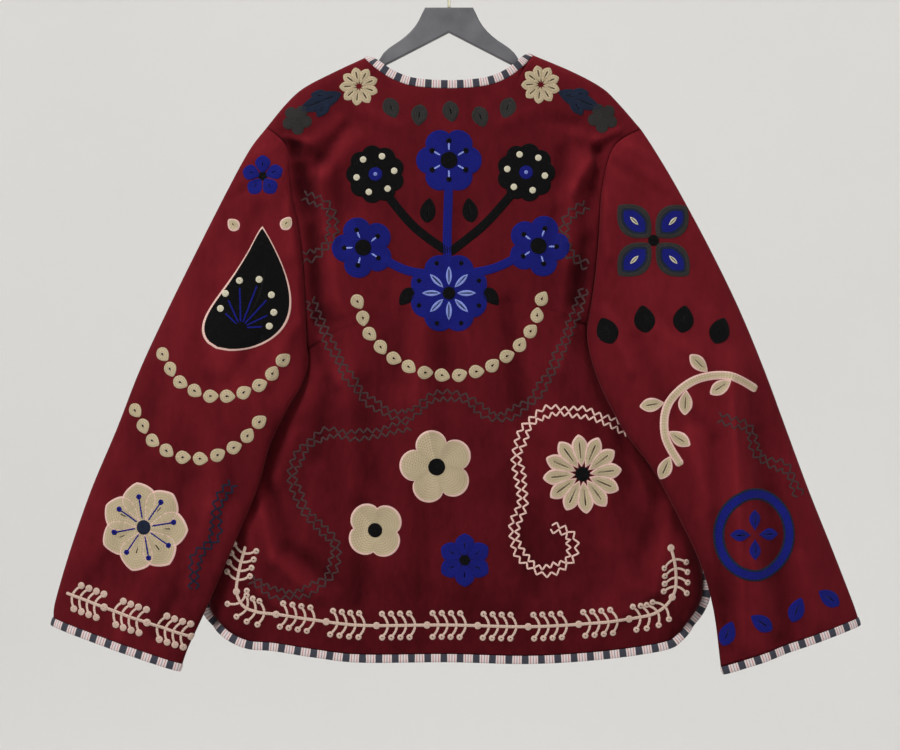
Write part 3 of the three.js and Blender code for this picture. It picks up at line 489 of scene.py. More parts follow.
def new_look(name, **fixed):
    look = bpy.data.materials.new(name)
    look.use_nodes = True
    shader = look.node_tree.nodes["Principled BSDF"]
    for socket, value in fixed.items():
        shader.inputs[socket.replace("_", " ")].default_value = value
    return look, look.node_tree, shader


def noise(tree, scale, detail=3, stretch=(1, 1, 1)):
    place = add_node(tree, "ShaderNodeTexCoord").outputs["Object"]
    place = add_node(tree, "ShaderNodeMapping", {"Vector": place, "Scale": stretch}).outputs["Vector"]
    inputs = {"Vector": place, "Scale": scale, "Detail": detail, "Roughness": 0.55}
    return add_node(tree, "ShaderNodeTexNoise", inputs).outputs["Fac"]


def spread(tree, value, low, high):
    """Stretches a middling value to run from 0 at low to 1 at high."""
    inputs = {"Value": value, "From Min": low, "From Max": high}
    return add_node(tree, "ShaderNodeMapRange", inputs).outputs["Result"]


def paint(tree, shader, colour):
    tree.links.new(colour, shader.inputs["Base Color"])


def bump(tree, shader, height, strength, distance):
    inputs = {"Height": height, "Strength": strength, "Distance": distance}
    node = add_node(tree, "ShaderNodeBump", inputs)
    tree.links.new(node.outputs["Normal"], shader.inputs["Normal"])


def velvet_look(name, shade):
    """Cotton velvet, streaked, with painted light: lighter where it faces up and towards the top, with
    painted highlights on ridges and painted shade in hollows.
    """
    look, tree, shader = new_look(
        name, Roughness=0.95, Sheen_Weight=0.16, Sheen_Roughness=0.34,
        Sheen_Tint=srgb(255, 130, 142), Specular_IOR_Level=0.08,
    )
    broad = noise(tree, 8)
    streaks = noise(tree, 34, stretch=(1, 1, 0.3))
    brushed = noise(tree, 130, stretch=(1, 1, 0.5))
    nap = noise(tree, 900, 2)
    # Painted shade and light from the fold heights: darker in hollows and creases, lighter on ridges.
    folding = add_node(tree, "ShaderNodeAttribute", attribute_name="folding").outputs["Fac"]
    # Painted light from above: faces that look upwards are lighter.
    facing = add_node(tree, "ShaderNodeNewGeometry").outputs["Normal"]
    painted_top_light = add_node(tree, "ShaderNodeSeparateXYZ", {0: facing}).outputs[2]
    # Painted light fall-off: lighter towards the top, darker towards the hem.
    place = add_node(tree, "ShaderNodeTexCoord").outputs["Object"]
    height = add_node(tree, "ShaderNodeSeparateXYZ", {0: place}).outputs[2]
    parts = [(broad, 0.38), (streaks, 0.28), (brushed, 0.22), (folding, 0.03), (painted_top_light, 0.3), (height, 0.2)]
    total = shade
    for value, strength in parts:
        total = math_node(tree, "ADD", math_node(tree, "MULTIPLY", value, strength), total)
    share = add_node(tree, "ShaderNodeClamp", {"Value": total}).outputs[0]
    paint(tree, shader, mix_colour(tree, share, srgb(44, 1, 5), srgb(122, 29, 38)))
    bump(tree, shader, math_node(tree, "ADD", nap, brushed), 0.3, 0.0005)
    return look


# How far a stitch's sides lag behind its middle, and the shares of its height that come from the
# loop, from the valley beside it and from loose fibres. Worn wool takes some of the dark colour.
STITCH_SLANT = 1.1
LOOP_SHARE = 0.8
VALLEY_SHARE = 2.2
FIBRE_SHARE = 0.5
WORN_SHARE = 0.14


def wool_look(name, colour, dark):
    """Wool in chain stitch: u counts the stitches along a row, and v the rows."""
    look, tree, shader = new_look(
        name, Roughness=0.9, Sheen_Weight=0.03, Sheen_Roughness=0.5, Specular_IOR_Level=0.08)
    uv = add_node(tree, "ShaderNodeTexCoord").outputs["UV"]
    split = add_node(tree, "ShaderNodeSeparateXYZ", {0: uv})
    row = math_node(tree, "FRACT", split.outputs[1])
    off_middle = math_node(tree, "ABSOLUTE", math_node(tree, "SUBTRACT", row, 0.5))
    slanted = math_node(tree, "ADD", split.outputs[0], math_node(tree, "MULTIPLY", off_middle, STITCH_SLANT))
    phase = math_node(tree, "FRACT", slanted)
    loop = math_node(tree, "SINE", math_node(tree, "MULTIPLY", phase, math.pi))
    loop = math_node(tree, "MULTIPLY", loop, LOOP_SHARE)
    valley = math_node(tree, "MULTIPLY", math_node(tree, "POWER", off_middle, 2), VALLEY_SHARE)
    fibres = math_node(tree, "MULTIPLY", noise(tree, 1400, 2), FIBRE_SHARE)
    height = math_node(tree, "ADD", math_node(tree, "SUBTRACT", loop, valley), fibres)
    worn = spread(tree, noise(tree, 45), 0.3, 0.7)
    # Painted shade: the low places between loops and rows take the dark colour.
    shade = spread(tree, height, -0.5, 0.75)
    dull = tuple((1 - WORN_SHARE) * c + WORN_SHARE * d for c, d in zip(colour, dark))
    base = mix_colour(tree, worn, colour, dull)
    paint(tree, shader, mix_colour(tree, shade, dark, base))
    bump(tree, shader, height, 0.6, 0.0005)
    return look


def binding_look():
    """Woven tape: u counts the repeats of navy and white bars, v runs round the fold."""
    look, tree, shader = new_look("striped_binding", Roughness=0.8, Specular_IOR_Level=0.25,
                                  Sheen_Weight=0.1)
    uv = add_node(tree, "ShaderNodeTexCoord").outputs["UV"]
    split = add_node(tree, "ShaderNodeSeparateXYZ", {0: uv})
    wobble = math_node(tree, "MULTIPLY", noise(tree, 120), 0.05)
    place = math_node(tree, "FRACT", math_node(tree, "ADD", split.outputs[0], wobble))
    red_line = srgb(168, 104, 112)
    navy_line = srgb(128, 116, 134)
    colour = srgb(208, 196, 192)
    bars = [(0.22, 0.225, 0.2, srgb(38, 42, 54)), (0.55, 0.034, 0.014, red_line),
            (0.72, 0.034, 0.014, navy_line), (0.89, 0.034, 0.014, red_line)]
    for middle, outer, inner, bar in bars:
        off = math_node(tree, "ABSOLUTE", math_node(tree, "SUBTRACT", place, middle))
        colour = mix_colour(tree, spread(tree, off, outer, inner), colour, bar)
    threads = math_node(tree, "FRACT", math_node(tree, "MULTIPLY", split.outputs[0], 26.0))
    across = math_node(tree, "FRACT", math_node(tree, "MULTIPLY", split.outputs[1], 1.4))
    weave = math_node(tree, "ADD", threads, across)
    shade = math_node(tree, "MULTIPLY", weave, 0.12)
    paint(tree, shader, mix_colour(tree, shade, colour, srgb(96, 84, 92)))
    bump(tree, shader, weave, 0.3, 0.0003)
    return look


def hanger_look():
    look, tree, shader = new_look("hanger_satin", Roughness=0.48, Specular_IOR_Level=0.4)
    grain = spread(tree, noise(tree, 30), 0.3, 0.7)
    fine = noise(tree, 700, 2)
    paint(tree, shader, mix_colour(tree, grain, srgb(79, 79, 83), srgb(99, 98, 102)))
    tree.links.new(spread(tree, fine, -0.6, 2.2), shader.inputs["Roughness"])
    bump(tree, shader, fine, 0.12, 0.0002)
    return look


def brass_look():
    look, tree, shader = new_look("hook_brass", Metallic=0.85, Roughness=0.3)
    tarnish = spread(tree, noise(tree, 160), 0.35, 0.7)
    paint(tree, shader, mix_colour(tree, tarnish, srgb(214, 212, 186), srgb(182, 178, 146)))
    tree.links.new(spread(tree, tarnish, -1.4, 3.2), shader.inputs["Roughness"])
    return look


# Two copies of one velvet: the sleeves' copy is painted lighter than the body's, as painted sheen for the
# light the sleeves catch.
BODY_VELVET = velvet_look("velvet_body", -0.12)
SLEEVE_VELVET = velvet_look("velvet_sleeve", 0.015)
TAPE = binding_look()
# Each wool's colour, and the dark colour that paints shade in its grooves and that worn wool takes a share
# of.
WOOL_COLOURS = {
    "blue": (srgb(20, 24, 108), srgb(7, 9, 58)),
    "cream": (srgb(180, 165, 136), srgb(112, 94, 72)),
    "edge": (srgb(212, 179, 169), srgb(164, 119, 108)),
    "shell": (srgb(196, 172, 158), srgb(144, 114, 102)),
    "black": (srgb(9, 8, 9), srgb(2, 2, 3)),
    "olive": (srgb(47, 45, 44), srgb(22, 20, 20)),
    "navy": (srgb(26, 34, 52), srgb(9, 12, 20)),
    "sky": (srgb(128, 142, 206), srgb(78, 88, 146)),
    "pearl": (srgb(198, 192, 170), srgb(152, 144, 124)),
    "bark": (srgb(66, 47, 48), srgb(36, 24, 25)),
}
WOOL_NAMES = list(WOOL_COLOURS)
WOOLS = [wool_look(f"wool_{name}", *pair) for name, pair in WOOL_COLOURS.items()]


# ---------------------------------------------------------------- meshes


def add_mesh(name, points, faces, looks, face_looks=None, uvs=None, recalc=False, folding=None):
    """A piece of the jacket in its slot of materials, which rides on the part's one body."""
    mesh = bpy.data.meshes.new(name)
    mesh.from_pydata((np.asarray(points) * MM).tolist(), [], faces)
    for look in looks:
        mesh.materials.append(look)
    if face_looks is not None:
        mesh.polygons.foreach_set("material_index", np.asarray(face_looks, np.int32))
    mesh.polygons.foreach_set("use_smooth", np.ones(len(mesh.polygons), bool))
    if uvs is not None:
        corners = np.empty(len(mesh.loops), np.int32)
        mesh.loops.foreach_get("vertex_index", corners)
        layer = mesh.uv_layers.new(name="UVMap")
        layer.data.foreach_set("uv", np.asarray(uvs, np.float32)[corners].ravel())
    # The fold heights, which the velvet turns into painted shade in hollows and painted highlights on ridges.
    if folding is not None:
        mesh.attributes.new("folding", "FLOAT", "POINT").data.foreach_set("value", np.ravel(folding))
    if recalc:
        turn_outwards(mesh)
    mesh.update()
    piece = placed(name, mesh)
    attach(piece, "root")
    return piece


def turn_outwards(mesh, merge=0.0):
    """Joins points that are closer than the given distance, and turns all faces outwards."""
    working = bmesh.new()
    working.from_mesh(mesh)
    if merge:
        bmesh.ops.remove_doubles(working, verts=working.verts, dist=merge)
    bmesh.ops.recalc_face_normals(working, faces=working.faces)
    working.to_mesh(mesh)
    working.free()


def grid_faces(rows, columns, wrap_rows=False, wrap_columns=False):
    """The four-sided faces of a grid of points, which may close on itself."""
    row = np.arange(rows if wrap_rows else rows - 1)[:, None]
    column = np.arange(columns if wrap_columns else columns - 1)[None]
    below = (row + 1) % rows
    after = (column + 1) % columns
    quads = [row * columns + column, below * columns + column, below * columns + after,
             row * columns + after]
    return np.stack(np.broadcast_arrays(*quads), axis=-1).reshape(-1, 4)


def halved(quads):
    """Two triangles for each four-sided face."""
    quads = np.asarray(quads)
    return np.concatenate([quads[:, [0, 1, 2]], quads[:, [0, 2, 3]]])


def grid_normals(points, outward):
    """Unit normals of a grid, looking the same way as the given vector at its middle."""
    normals = unit(np.cross(np.gradient(points, axis=0), np.gradient(points, axis=1)))
    middle = normals[len(points) // 2, points.shape[1] // 2]
    return normals * (1 if middle @ np.asarray(outward, float) > 0 else -1)


def cloth_wall(name, points, folding, outward):
    """A closed wall of cloth: the grid, the same grid moved inwards, and the rim."""
    rows, columns = points.shape[:2]
    inner = points - CLOTH * grid_normals(points, outward)
    outer_faces = halved(grid_faces(rows, columns))
    shift = rows * columns
    rim = np.concatenate([np.arange(rows - 1) * columns, (rows - 1) * columns + np.arange(columns - 1),
                          np.arange(rows - 1, 0, -1) * columns + columns - 1,
                          np.arange(columns - 1, 0, -1)])
    after = np.roll(rim, -1)
    rim_faces = np.stack([after, rim, rim + shift, after + shift], axis=-1)
    faces = np.concatenate([outer_faces, outer_faces[:, ::-1] + shift, halved(rim_faces)])
    both = np.concatenate([points.reshape(-1, 3), inner.reshape(-1, 3)])
    return add_mesh(name, both, faces.tolist(), [BODY_VELVET], recalc=True,
                    folding=np.concatenate([folding, folding]))


def cloth_tube(name, back_half, front_half, back_folding, front_folding):
    """A sleeve as one closed wall: its two halves joined along both silhouettes."""
    back_half = back_half.copy()
    back_half[:, [0, -1], 1] = (back_half[:, [0, -1], 1] + front_half[:, [0, -1], 1]) / 2
    loop = np.concatenate([back_half, front_half[:, ::-1][:, 1:-1]], axis=1)
    folding = np.concatenate([back_folding, front_folding[:, ::-1][:, 1:-1]], axis=1)
    round_it = np.roll(loop, -1, axis=1) - np.roll(loop, 1, axis=1)
    normals = unit(np.cross(np.gradient(loop, axis=0), round_it))
    if normals[len(loop) // 2, back_half.shape[1] // 2, 1] > 0:
        normals = -normals
    inner = loop - CLOTH * normals
    rings, columns = loop.shape[:2]
    walls = np.concatenate([loop, inner[::-1]], axis=0)
    faces = halved(grid_faces(2 * rings, columns, wrap_rows=True, wrap_columns=True))
    piece = add_mesh(name, walls.reshape(-1, 3), faces.tolist(), [SLEEVE_VELVET], recalc=True,
                     folding=np.concatenate([folding, folding[::-1]]))
    return piece, loop


def end_faces(rows, columns, sides):
    """The two faces that close the ends of a tube."""
    last = (rows - 1) * columns
    return [list(range(sides)), [last + k for k in range(sides)][::-1]]


cloth = {}
panel_nodes = [("back", BACK, "back_panel"), ("front_left", FRONT, "front_left"),
               ("front_right", FRONT, "front_right")]
for name, face_value, node in panel_nodes:
    cloth[name] = cloth_wall(f"cloth_{name}", PANELS[name], FOLDING[name], (0, face_value, 0))
    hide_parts(node)
TUBES = {}
for side_name in ("left", "right"):
    name = f"sleeve_{side_name}"
    halves = (f"{name}_back", f"{name}_front")
    cloth[name], TUBES[side_name] = cloth_tube(
        f"cloth_{name}", *(PANELS[half] for half in halves), *(FOLDING[half] for half in halves))
    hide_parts(*halves)


# ---------------------------------------------------------------- bindings

# Away from the cloth's edge, and out of its face.
TAPE_SECTION = np.array([
    (0.1, 0.6), (1.2, 0.95), (4.8, 1.1), (8.2, 0.85), (9.3, 0.2), (9.6, -1), (9.3, -2.2), (8.2, -2.85),
    (4.8, -3), (1.2, -2.9), (0.1, -2.6),
])
TAPE_REPEAT = 18.5
TAPE_STEP = 2.4
NECK_TAPE_UP = np.array([0.42, 0.0, 0.9])
NECK_TAPE_LAP = 9.6
CUFF_FLATTENING = (0.15, 1, 0.15)
CUFF_INSIDE_RING = -12


def evened(points, normals, closed):
    """The same line and its normals, with even steps along it."""
    if closed:
        points = np.concatenate([points, points[:1]])
        normals = np.concatenate([normals, normals[:1]])
    lengths = run_lengths(points)
    places = np.linspace(0, lengths[-1], int(round(lengths[-1] / TAPE_STEP)) + 1)
    resampled = [at_places(values, lengths, places) for values in (points, normals)]
    if closed:
        resampled = [a[:-1] for a in resampled]
    return resampled


def tape(name, points, normals, away_from, node, closed=False):
    """A folded tape along an edge. It stands off the edge on the side away from the given point."""
    points, normals = evened(points, normals, closed)
    if closed:
        tangents = unit(np.roll(points, -1, axis=0) - np.roll(points, 1, axis=0))
    else:
        tangents = unit(np.gradient(points, axis=0))
    out = unit(np.cross(unit(normals), tangents))
    if np.sum(np.einsum("ij,ij->i", out, points - np.asarray(away_from, float))) < 0:
        out = -out
    facing = np.cross(tangents, out)
    facing *= np.sign(np.einsum("ij,ij->i", facing, normals))[:, None]
    away, proud = TAPE_SECTION.T[:, None, :, None]
    grid = points[:, None] + (away * out[:, None] + proud * facing[:, None])
    lengths = run_lengths(points) / TAPE_REPEAT
    if closed:
        repeats = round(lengths[-1] + TAPE_STEP / TAPE_REPEAT)
        lengths = np.arange(len(points) + 1) * repeats / len(points)
        grid = np.concatenate([grid, grid[:1]])
    sides = len(TAPE_SECTION)
    grid = np.concatenate([grid, grid[:, :1]], axis=1)
    round_it = run_lengths(np.concatenate([TAPE_SECTION, TAPE_SECTION[:1]]))
    uvs = np.stack(np.broadcast_arrays(lengths[:, None], round_it[None]), axis=-1).reshape(-1, 2)
    faces = grid_faces(len(grid), sides + 1).tolist()
    if not closed:
        faces += end_faces(len(grid), sides + 1, sides)
    piece = add_mesh(name, grid.reshape(-1, 3), faces, [TAPE], uvs=uvs)
    turn_outwards(piece.data, merge=1e-6)
    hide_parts(node)
    return piece


def panel_edge(panel, face, start, end):
    """The panel's edge from a row of its first column, round the hem, to a row of its last."""
    points = np.concatenate([panel[start:-1, 0], panel[-1], panel[-2:end - 1 if end else None:-1, -1]])
    return points, np.repeat([[0.0, face, 0.0]], len(points), axis=0)


def vent_row(side):
    """The first row of the side edge where its vent stands open."""
    return int(np.argmax(vent_gap(EDGE[side][:, 1]) > VENT_OPEN))


def neck_line():
    """The neck edge from one front edge, over both shoulders and the back, to the other."""
    left, right = (PANELS[f"front_{side}"][0, SHOULDER_STEPS + 1:] for side in ("left", "right"))
    back = PANELS["back"][0, SHOULDER_STEPS:SHOULDER_STEPS + BACK_NECK_STEPS + 1]
    points = np.concatenate([left[::-1], back, right])
    faces = np.repeat([FRONT, BACK, FRONT], [len(left), len(back), len(right)])
    seams = [len(left), len(left) + len(back) - 1]
    points[seams, 1] = 0
    corners = np.where(points[:, :1] < 0, [SHOULDER["left"][0]], [SHOULDER["right"][0]])
    turn = smooth_step(np.hypot(*(points[:, [0, 2]] - corners).T) / NECK_TURN)[:, None]
    up = np.where(points[:, :1] < 0, NECK_TAPE_UP * [-1, 1, 1], NECK_TAPE_UP)
    normals = unit(up * (1 - turn) + np.stack([0 * faces, faces, 0 * faces], axis=-1) * turn)
    lap = np.array([[NECK_TAPE_LAP, 0, 0]])
    points = np.concatenate([points[:1] + lap, points, points[-1:] - lap])
    return points, normals[[0, *range(len(normals)), -1]]


hem_line = panel_edge(PANELS["back"], BACK, vent_row("left"), vent_row("right"))
tapes = {
    "neck": tape("tape_neck", *neck_line(), (0, 0, -420), "neck_binding"),
    "hem": tape("tape_hem_back", *hem_line, (0, 0, -500), "hem_binding_back"),
}
for side_name in ("left", "right"):
    front_middle = (-120 if side_name == "left" else 120, 0, -500)
    front_line = panel_edge(PANELS[f"front_{side_name}"], FRONT, vent_row(side_name), 0)
    tapes[f"front_{side_name}"] = tape(f"tape_front_{side_name}", *front_line, front_middle,
                                       f"front_binding_{side_name}")
    cuff = TUBES[side_name][-1]
    facing = unit(unit(cuff - cuff.mean(axis=0)) * CUFF_FLATTENING)
    inside_sleeve = TUBES[side_name][CUFF_INSIDE_RING].mean(axis=0)
    tapes[f"cuff_{side_name}"] = tape(f"tape_cuff_{side_name}", cuff, facing, inside_sleeve,
                                      f"cuff_binding_{side_name}", closed=True)

# ---------------------------------------------------------------- hanger and hook

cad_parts["hanger_body"].data.materials.clear()
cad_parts["hanger_body"].data.materials.append(hanger_look())

WIRE_RADIUS = 1.75
WIRE_SIDES = 20
WIRE_STEPS = 96
HOOK_RADIUS = 20.75
HOOK_STEM = [(0, -68.7), (0, -62), (0, -55), (3.5, -46.5), (11.5, -37.5)]
HOOK_START_DEGREES = -27
HOOK_STEP_DEGREES = 22.3
HOOK_STEPS = 11
HOOK_TIP = (0.93, 0.72, 0.3)


def hook():
    """A round wire: a bent stem, then most of a circle, rounded off at its tip."""
    route = list(HOOK_STEM)
    for k in range(HOOK_STEPS):
        turn = math.radians(HOOK_START_DEGREES + k * HOOK_STEP_DEGREES)
        up = WIRE_RADIUS - HOOK_RADIUS + HOOK_RADIUS * math.sin(turn)
        route.append((HOOK_RADIUS * math.cos(turn), up))
    line = along(route, even(WIRE_STEPS))
    tangents = unit(np.gradient(line, axis=0))
    sideways = np.stack([-tangents[:, 1], 0 * tangents[:, 0], tangents[:, 0]], axis=-1)
    turns = np.arange(WIRE_SIDES) * 2 * np.pi / WIRE_SIDES
    shrink = np.ones(len(line))
    shrink[-len(HOOK_TIP):] = HOOK_TIP
    ring = (np.cos(turns)[None, :, None] * sideways[:, None]
            + np.sin(turns)[None, :, None] * np.array([0.0, 1.0, 0.0]))
    centres = np.stack([line[:, 0], 0 * line[:, 0], line[:, 1]], axis=-1)
    grid = centres[:, None] + WIRE_RADIUS * shrink[:, None, None] * ring
    rows, sides = grid.shape[:2]
    faces = grid_faces(rows, sides, wrap_columns=True).tolist() + end_faces(rows, sides, sides)
    piece = add_mesh("hook_wire", grid.reshape(-1, 3), faces, [brass_look()], recalc=True)
    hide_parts("hanger_hook")


hook()

# ---------------------------------------------------------------- embroidery

# Rows of stitches: how far apart they are, the length of one stitch, and the steps along a row.
ROW_PITCH = 2.8
STITCH = 3.2
STITCH_STEP = 2.1
# A patch's outer edge sinks into the cloth, and the grooves lie a ridge below the rows.
SUNK = -0.5
RIDGE = 0.3
CAP_ROW = 0.3
# A patch that lies on another one sinks into it to a share of its base, and its last ring stops a
# share of a row short of the core. A row's ends start a little way in and keep a least width.
BASE_SHARE = 0.6
CORE_GAP = 0.2
END_START = 0.4
END_WIDTH = 0.2
# Rays towards the cloth start this far from the middle plane, in metres.
CAST_FROM = 0.3
# The border's vine: the rows above the vents where it starts, its distance from the edge, what
# is trimmed off its ends, and the length of one group of sprigs.
VINE_RISE = 9
VINE_INSET = 33
VINE_TRIM = 14
VINE_GROUP = 56
CUFF_VINE_GROUP = 63
# Its line: the steps along the rim and along itself, how often it is smoothed, and its knots.
RIM_STEP = 4
LINE_STEP = 5
SMOOTHINGS = 6
KNOT_STEP = 18
CLEAR_SHARE = 0.985
VINE_STEM = 4.2
SPRIG_WIDTH = 3.9
SPRIG_BACK = 7
BOW_BACK = 2.2
BOW_REACH = 0.5
SPRIG_PLACES = (0.16, 0.34, 0.52, 0.7)
BUD_PLACE = 0.93
# A zigzag vine: its threads' distance, the length of a tooth pair, their swing and their width.
ZIGZAG_APART = 7.8
ZIGZAG_PERIOD = 9.8
ZIGZAG_SWING = 2.8
ZIGZAG_THREAD = 3.3
PETAL_LENGTH = 19
PETAL_WIDTH = 16
PETAL_GAP = 0.6
FLOWER_DOTS = 6
DOT_RADIUS = 4.3
DOT_PLACE = 0.64
# Wools from a patch's edge inwards.
BLUE = ("blue",)
BLACK = ("black",)
OLIVE = ("olive",)
NAVY = ("navy",)
PLAIN_CREAM = ("cream",)
# Cream patches have an outer row of the pinkish edge wool: painted light, for the pinkish light on their
# raised edges.
CREAM = ("edge", "cream")


class Stitching:
    """Embroidery for one panel, drawn as (x, z) in its outline plane, then laid on its cloth."""

    def __init__(self, name, panel, face):
        self.name = name
        self.face = face
        faces = halved(grid_faces(*panel.shape[:2]))
        self.tree = BVHTree.FromPolygons((panel.reshape(-1, 3) * MM).tolist(), faces.tolist())
        self.parts = []

    def add(self, plane, heights, colours, lengths, caps=()):
        """A grid of rings: places, heights, a colour for each band between rings, and lengths."""
        rings, count = plane.shape[:2]
        heights = np.broadcast_to(np.asarray(heights, float).reshape(rings, -1), (rings, count))
        rows = np.arange(rings)[:, None] / 2
        if caps:
            rows[-1] -= CAP_ROW
        uvs = np.stack(np.broadcast_arrays(lengths / STITCH, rows), axis=-1)
        looks = np.repeat([WOOL_NAMES.index(c) for c in colours], count - 1)
        self.parts.append((plane.reshape(-1, 2), heights.ravel(), uvs.reshape(-1, 2),
                           grid_faces(rings, count).tolist(), looks.tolist(), caps))

    def on_cloth(self, x, z, height):
        """The point that stands so high above the cloth at (x, z), and whether there is cloth."""
        direction = Vector((0, -self.face, 0))
        start = Vector((x * MM, self.face * CAST_FROM, z * MM))
        hit, normal, _, _ = self.tree.ray_cast(start, direction)
        if hit is None:
            return (x, 0, z), False
        if normal.dot(direction) > 0:
            normal = -normal
        return tuple((hit + normal * height * MM) / MM), True

    def lay(self):
        """Lays everything on the cloth as one piece, and leaves out what falls beside it."""
        points, uvs, faces, looks = [], [], [], []
        for plane, heights, part_uvs, part_faces, part_looks, caps in self.parts:
            start = len(points)
            laid = [self.on_cloth(x, z, height) for (x, z), height in zip(plane, heights)]
            points.extend(point for point, _ in laid)
            uvs.extend(part_uvs.tolist())
            for face, look in [*zip(part_faces, part_looks), *caps]:
                if all(laid[k][1] for k in face):
                    faces.append([start + k for k in face])
                    looks.append(look)
        used = sorted({k for face in faces for k in face})
        new_place = {k: i for i, k in enumerate(used)}
        faces = [[new_place[k] for k in face] for face in faces]
        piece = add_mesh(self.name, np.asarray(points)[used], faces, WOOLS, looks,
                         np.asarray(uvs)[used])
        normals = np.empty(len(faces) * 3)
        piece.data.polygons.foreach_get("normal", normals)
        if np.sum(normals.reshape(-1, 3)[:, 1]) * self.face < 0:
            piece.data.flip_normals()
        return piece


def turned(points, degrees, x=0.0, z=0.0):
    """Flat points turned anticlockwise about the origin, then moved by (x, z)."""
    angle = math.radians(degrees)
    c, s = math.cos(angle), math.sin(angle)
    points = np.asarray(points, float)
    return np.stack([c * points[..., 0] - s * points[..., 1] + x,
                     s * points[..., 0] + c * points[..., 1] + z], axis=-1)


def beyond(x, z, degrees, far):
    """The point so far from (x, z) the given way, 0 upwards and then anticlockwise."""
    return turned([(0, far)], degrees, x, z)[0]


def left_of(tangents):
    return np.stack([-tangents[:, 1], tangents[:, 0]], axis=-1)


def path_length(path):
    return run_lengths(spline(path, np.linspace(0, 1, 60 * len(path))))[-1]


def row_colours(scheme, rows):
    """A colour for each row from the edge in: the scheme's last colour goes on to the middle."""
    return [scheme[min(k, len(scheme) - 1)] for k in range(rows)]


def row_heights(rows, height):
    """Rows of stitches stand a ridge above the grooves between them."""
    return np.where(np.arange(2 * rows + 1) % 2 == 1, height, height - RIDGE)


def pad(work, outline, core, scheme, base=0.0, height=1.1):
    """Rows of stitches that follow an outline inwards to a core, a point or a line of points."""
    closed = np.concatenate([outline, outline[:1]])
    around = run_lengths(closed)
    count = max(9, int(around[-1] / STITCH_STEP))
    edge = at_places(closed, around, np.linspace(0, around[-1], count + 1))
    core = np.atleast_2d(np.asarray(core, float))
    gaps = np.linalg.norm(edge[:, None] - core[None], axis=-1)
    target = core[np.argmin(gaps, axis=1)]
    rows = max(1, int(round(np.median(gaps.min(axis=1)) / ROW_PITCH)))
    shares = np.append(np.arange(2 * rows) / (2 * rows), 1 - CORE_GAP / rows)
    plane = edge[None] + (target - edge)[None] * shares[:, None, None]
    heights = row_heights(rows, height) + base
    heights[0] = SUNK + base * BASE_SHARE
    heights[-1] = height - RIDGE / 3 + base
    lengths = np.stack([run_lengths(ring) for ring in plane])
    colours = np.repeat(row_colours(scheme, rows), 2)
    cap = [2 * rows * len(edge) + k for k in range(len(edge) - 1)]
    work.add(plane, heights, colours, lengths, [(cap, WOOL_NAMES.index(colours[-1]))])


def band(work, path, width, scheme, base=0.0, height=1.1, step=STITCH_STEP, smooth=True, closed=False):
    """Rows of stitches along a path, rounded at both ends or closed in a ring."""
    path = np.asarray(path, float)
    rough = spline(path, np.linspace(0, 1, 40 * len(path))) if smooth else path
    lengths = run_lengths(rough)
    count = max(3, int(lengths[-1] / step))
    places = np.linspace(0, lengths[-1], count + 1)
    line = at_places(rough, lengths, places)
    tangents = unit(np.gradient(line, axis=0))
    if closed:
        tangents[[0, -1]] = unit(line[1] - line[-2])
    rows = max(1, int(round(width / ROW_PITCH)))
    offsets = np.linspace(-width / 2, width / 2, 2 * rows + 1)
    ends = np.minimum(places, lengths[-1] - places)
    narrowed = np.maximum(quarter_round(ends + END_START, width / 2), END_WIDTH)
    if closed:
        narrowed = np.ones(count + 1)
    plane = line[None] + offsets[:, None, None] * (left_of(tangents) * narrowed[:, None])[None]
    heights = row_heights(rows, height)
    heights[[0, -1]] = SUNK
    heights = heights[:, None] * np.ones(count + 1) + base
    if not closed:
        heights[:, [0, -1]] = SUNK + base
    colours = row_colours(scheme, (rows + 1) // 2)
    colours = np.repeat(colours + colours[:rows - len(colours)][::-1], 2)
    work.add(plane, heights, colours, np.broadcast_to(places, (2 * rows + 1, count + 1)))


def disc(work, x, z, radius, scheme, base=0.0, height=1.1):
    turns = np.linspace(0, 2 * np.pi, 40, endpoint=False)
    outline = np.stack([x + radius * np.cos(turns), z + radius * np.sin(turns)], axis=-1)
    pad(work, outline, (x, z), scheme, base, height)


def lobed(radius, lobes, depth, power=0.7):
    """A flower outline of round lobes, the first one upwards."""
    turns = np.linspace(0, 2 * np.pi, 40 * lobes, endpoint=False)
    reach = radius * (1 - depth * (1 - np.abs(np.cos(lobes * turns / 2)) ** power))
    return np.stack([-reach * np.sin(turns), reach * np.cos(turns)], axis=-1)


def leaf(work, x, z, degrees, length, width, scheme, start=0.0, peak=1.0, power=1.0, bend=0.0, base=0.0):
    """A leaf or petal that points the given way, and starts so far from (x, z)."""
    s = np.linspace(0, 1, 60)
    half = width / 2 * np.sin(np.pi * s**peak) ** power
    sway = bend * np.sin(np.pi * s) * length
    up = length * s
    left = np.stack([sway - half, up], axis=-1)
    right = np.stack([sway + half, up], axis=-1)
    outline = np.concatenate([left, right[::-1][1:-1]])
    inset = min(0.45, width / 2 / length)
    spine = np.stack([sway, up], axis=-1)[(s > inset) & (s < 1 - inset)]
    if len(spine) < 2:
        spine = np.array([[bend * length, length / 2]])
    foot = beyond(x, z, degrees, start)
    pad(work, turned(outline, degrees, *foot), turned(spine, degrees, *foot), scheme, base)


def rays(work, x, z, degrees, inner, outer, colour, ball, width=3.2, radius=4.2):
    """Short stalks from a flower's middle, each with a round end."""
    for angle in degrees:
        across = turned([(0, inner), (0, outer)], angle, x, z)
        band(work, across, width, (colour,), 0.9, 0.9, smooth=False)
        if ball:
            disc(work, *across[1], radius, (ball,), 1.05)


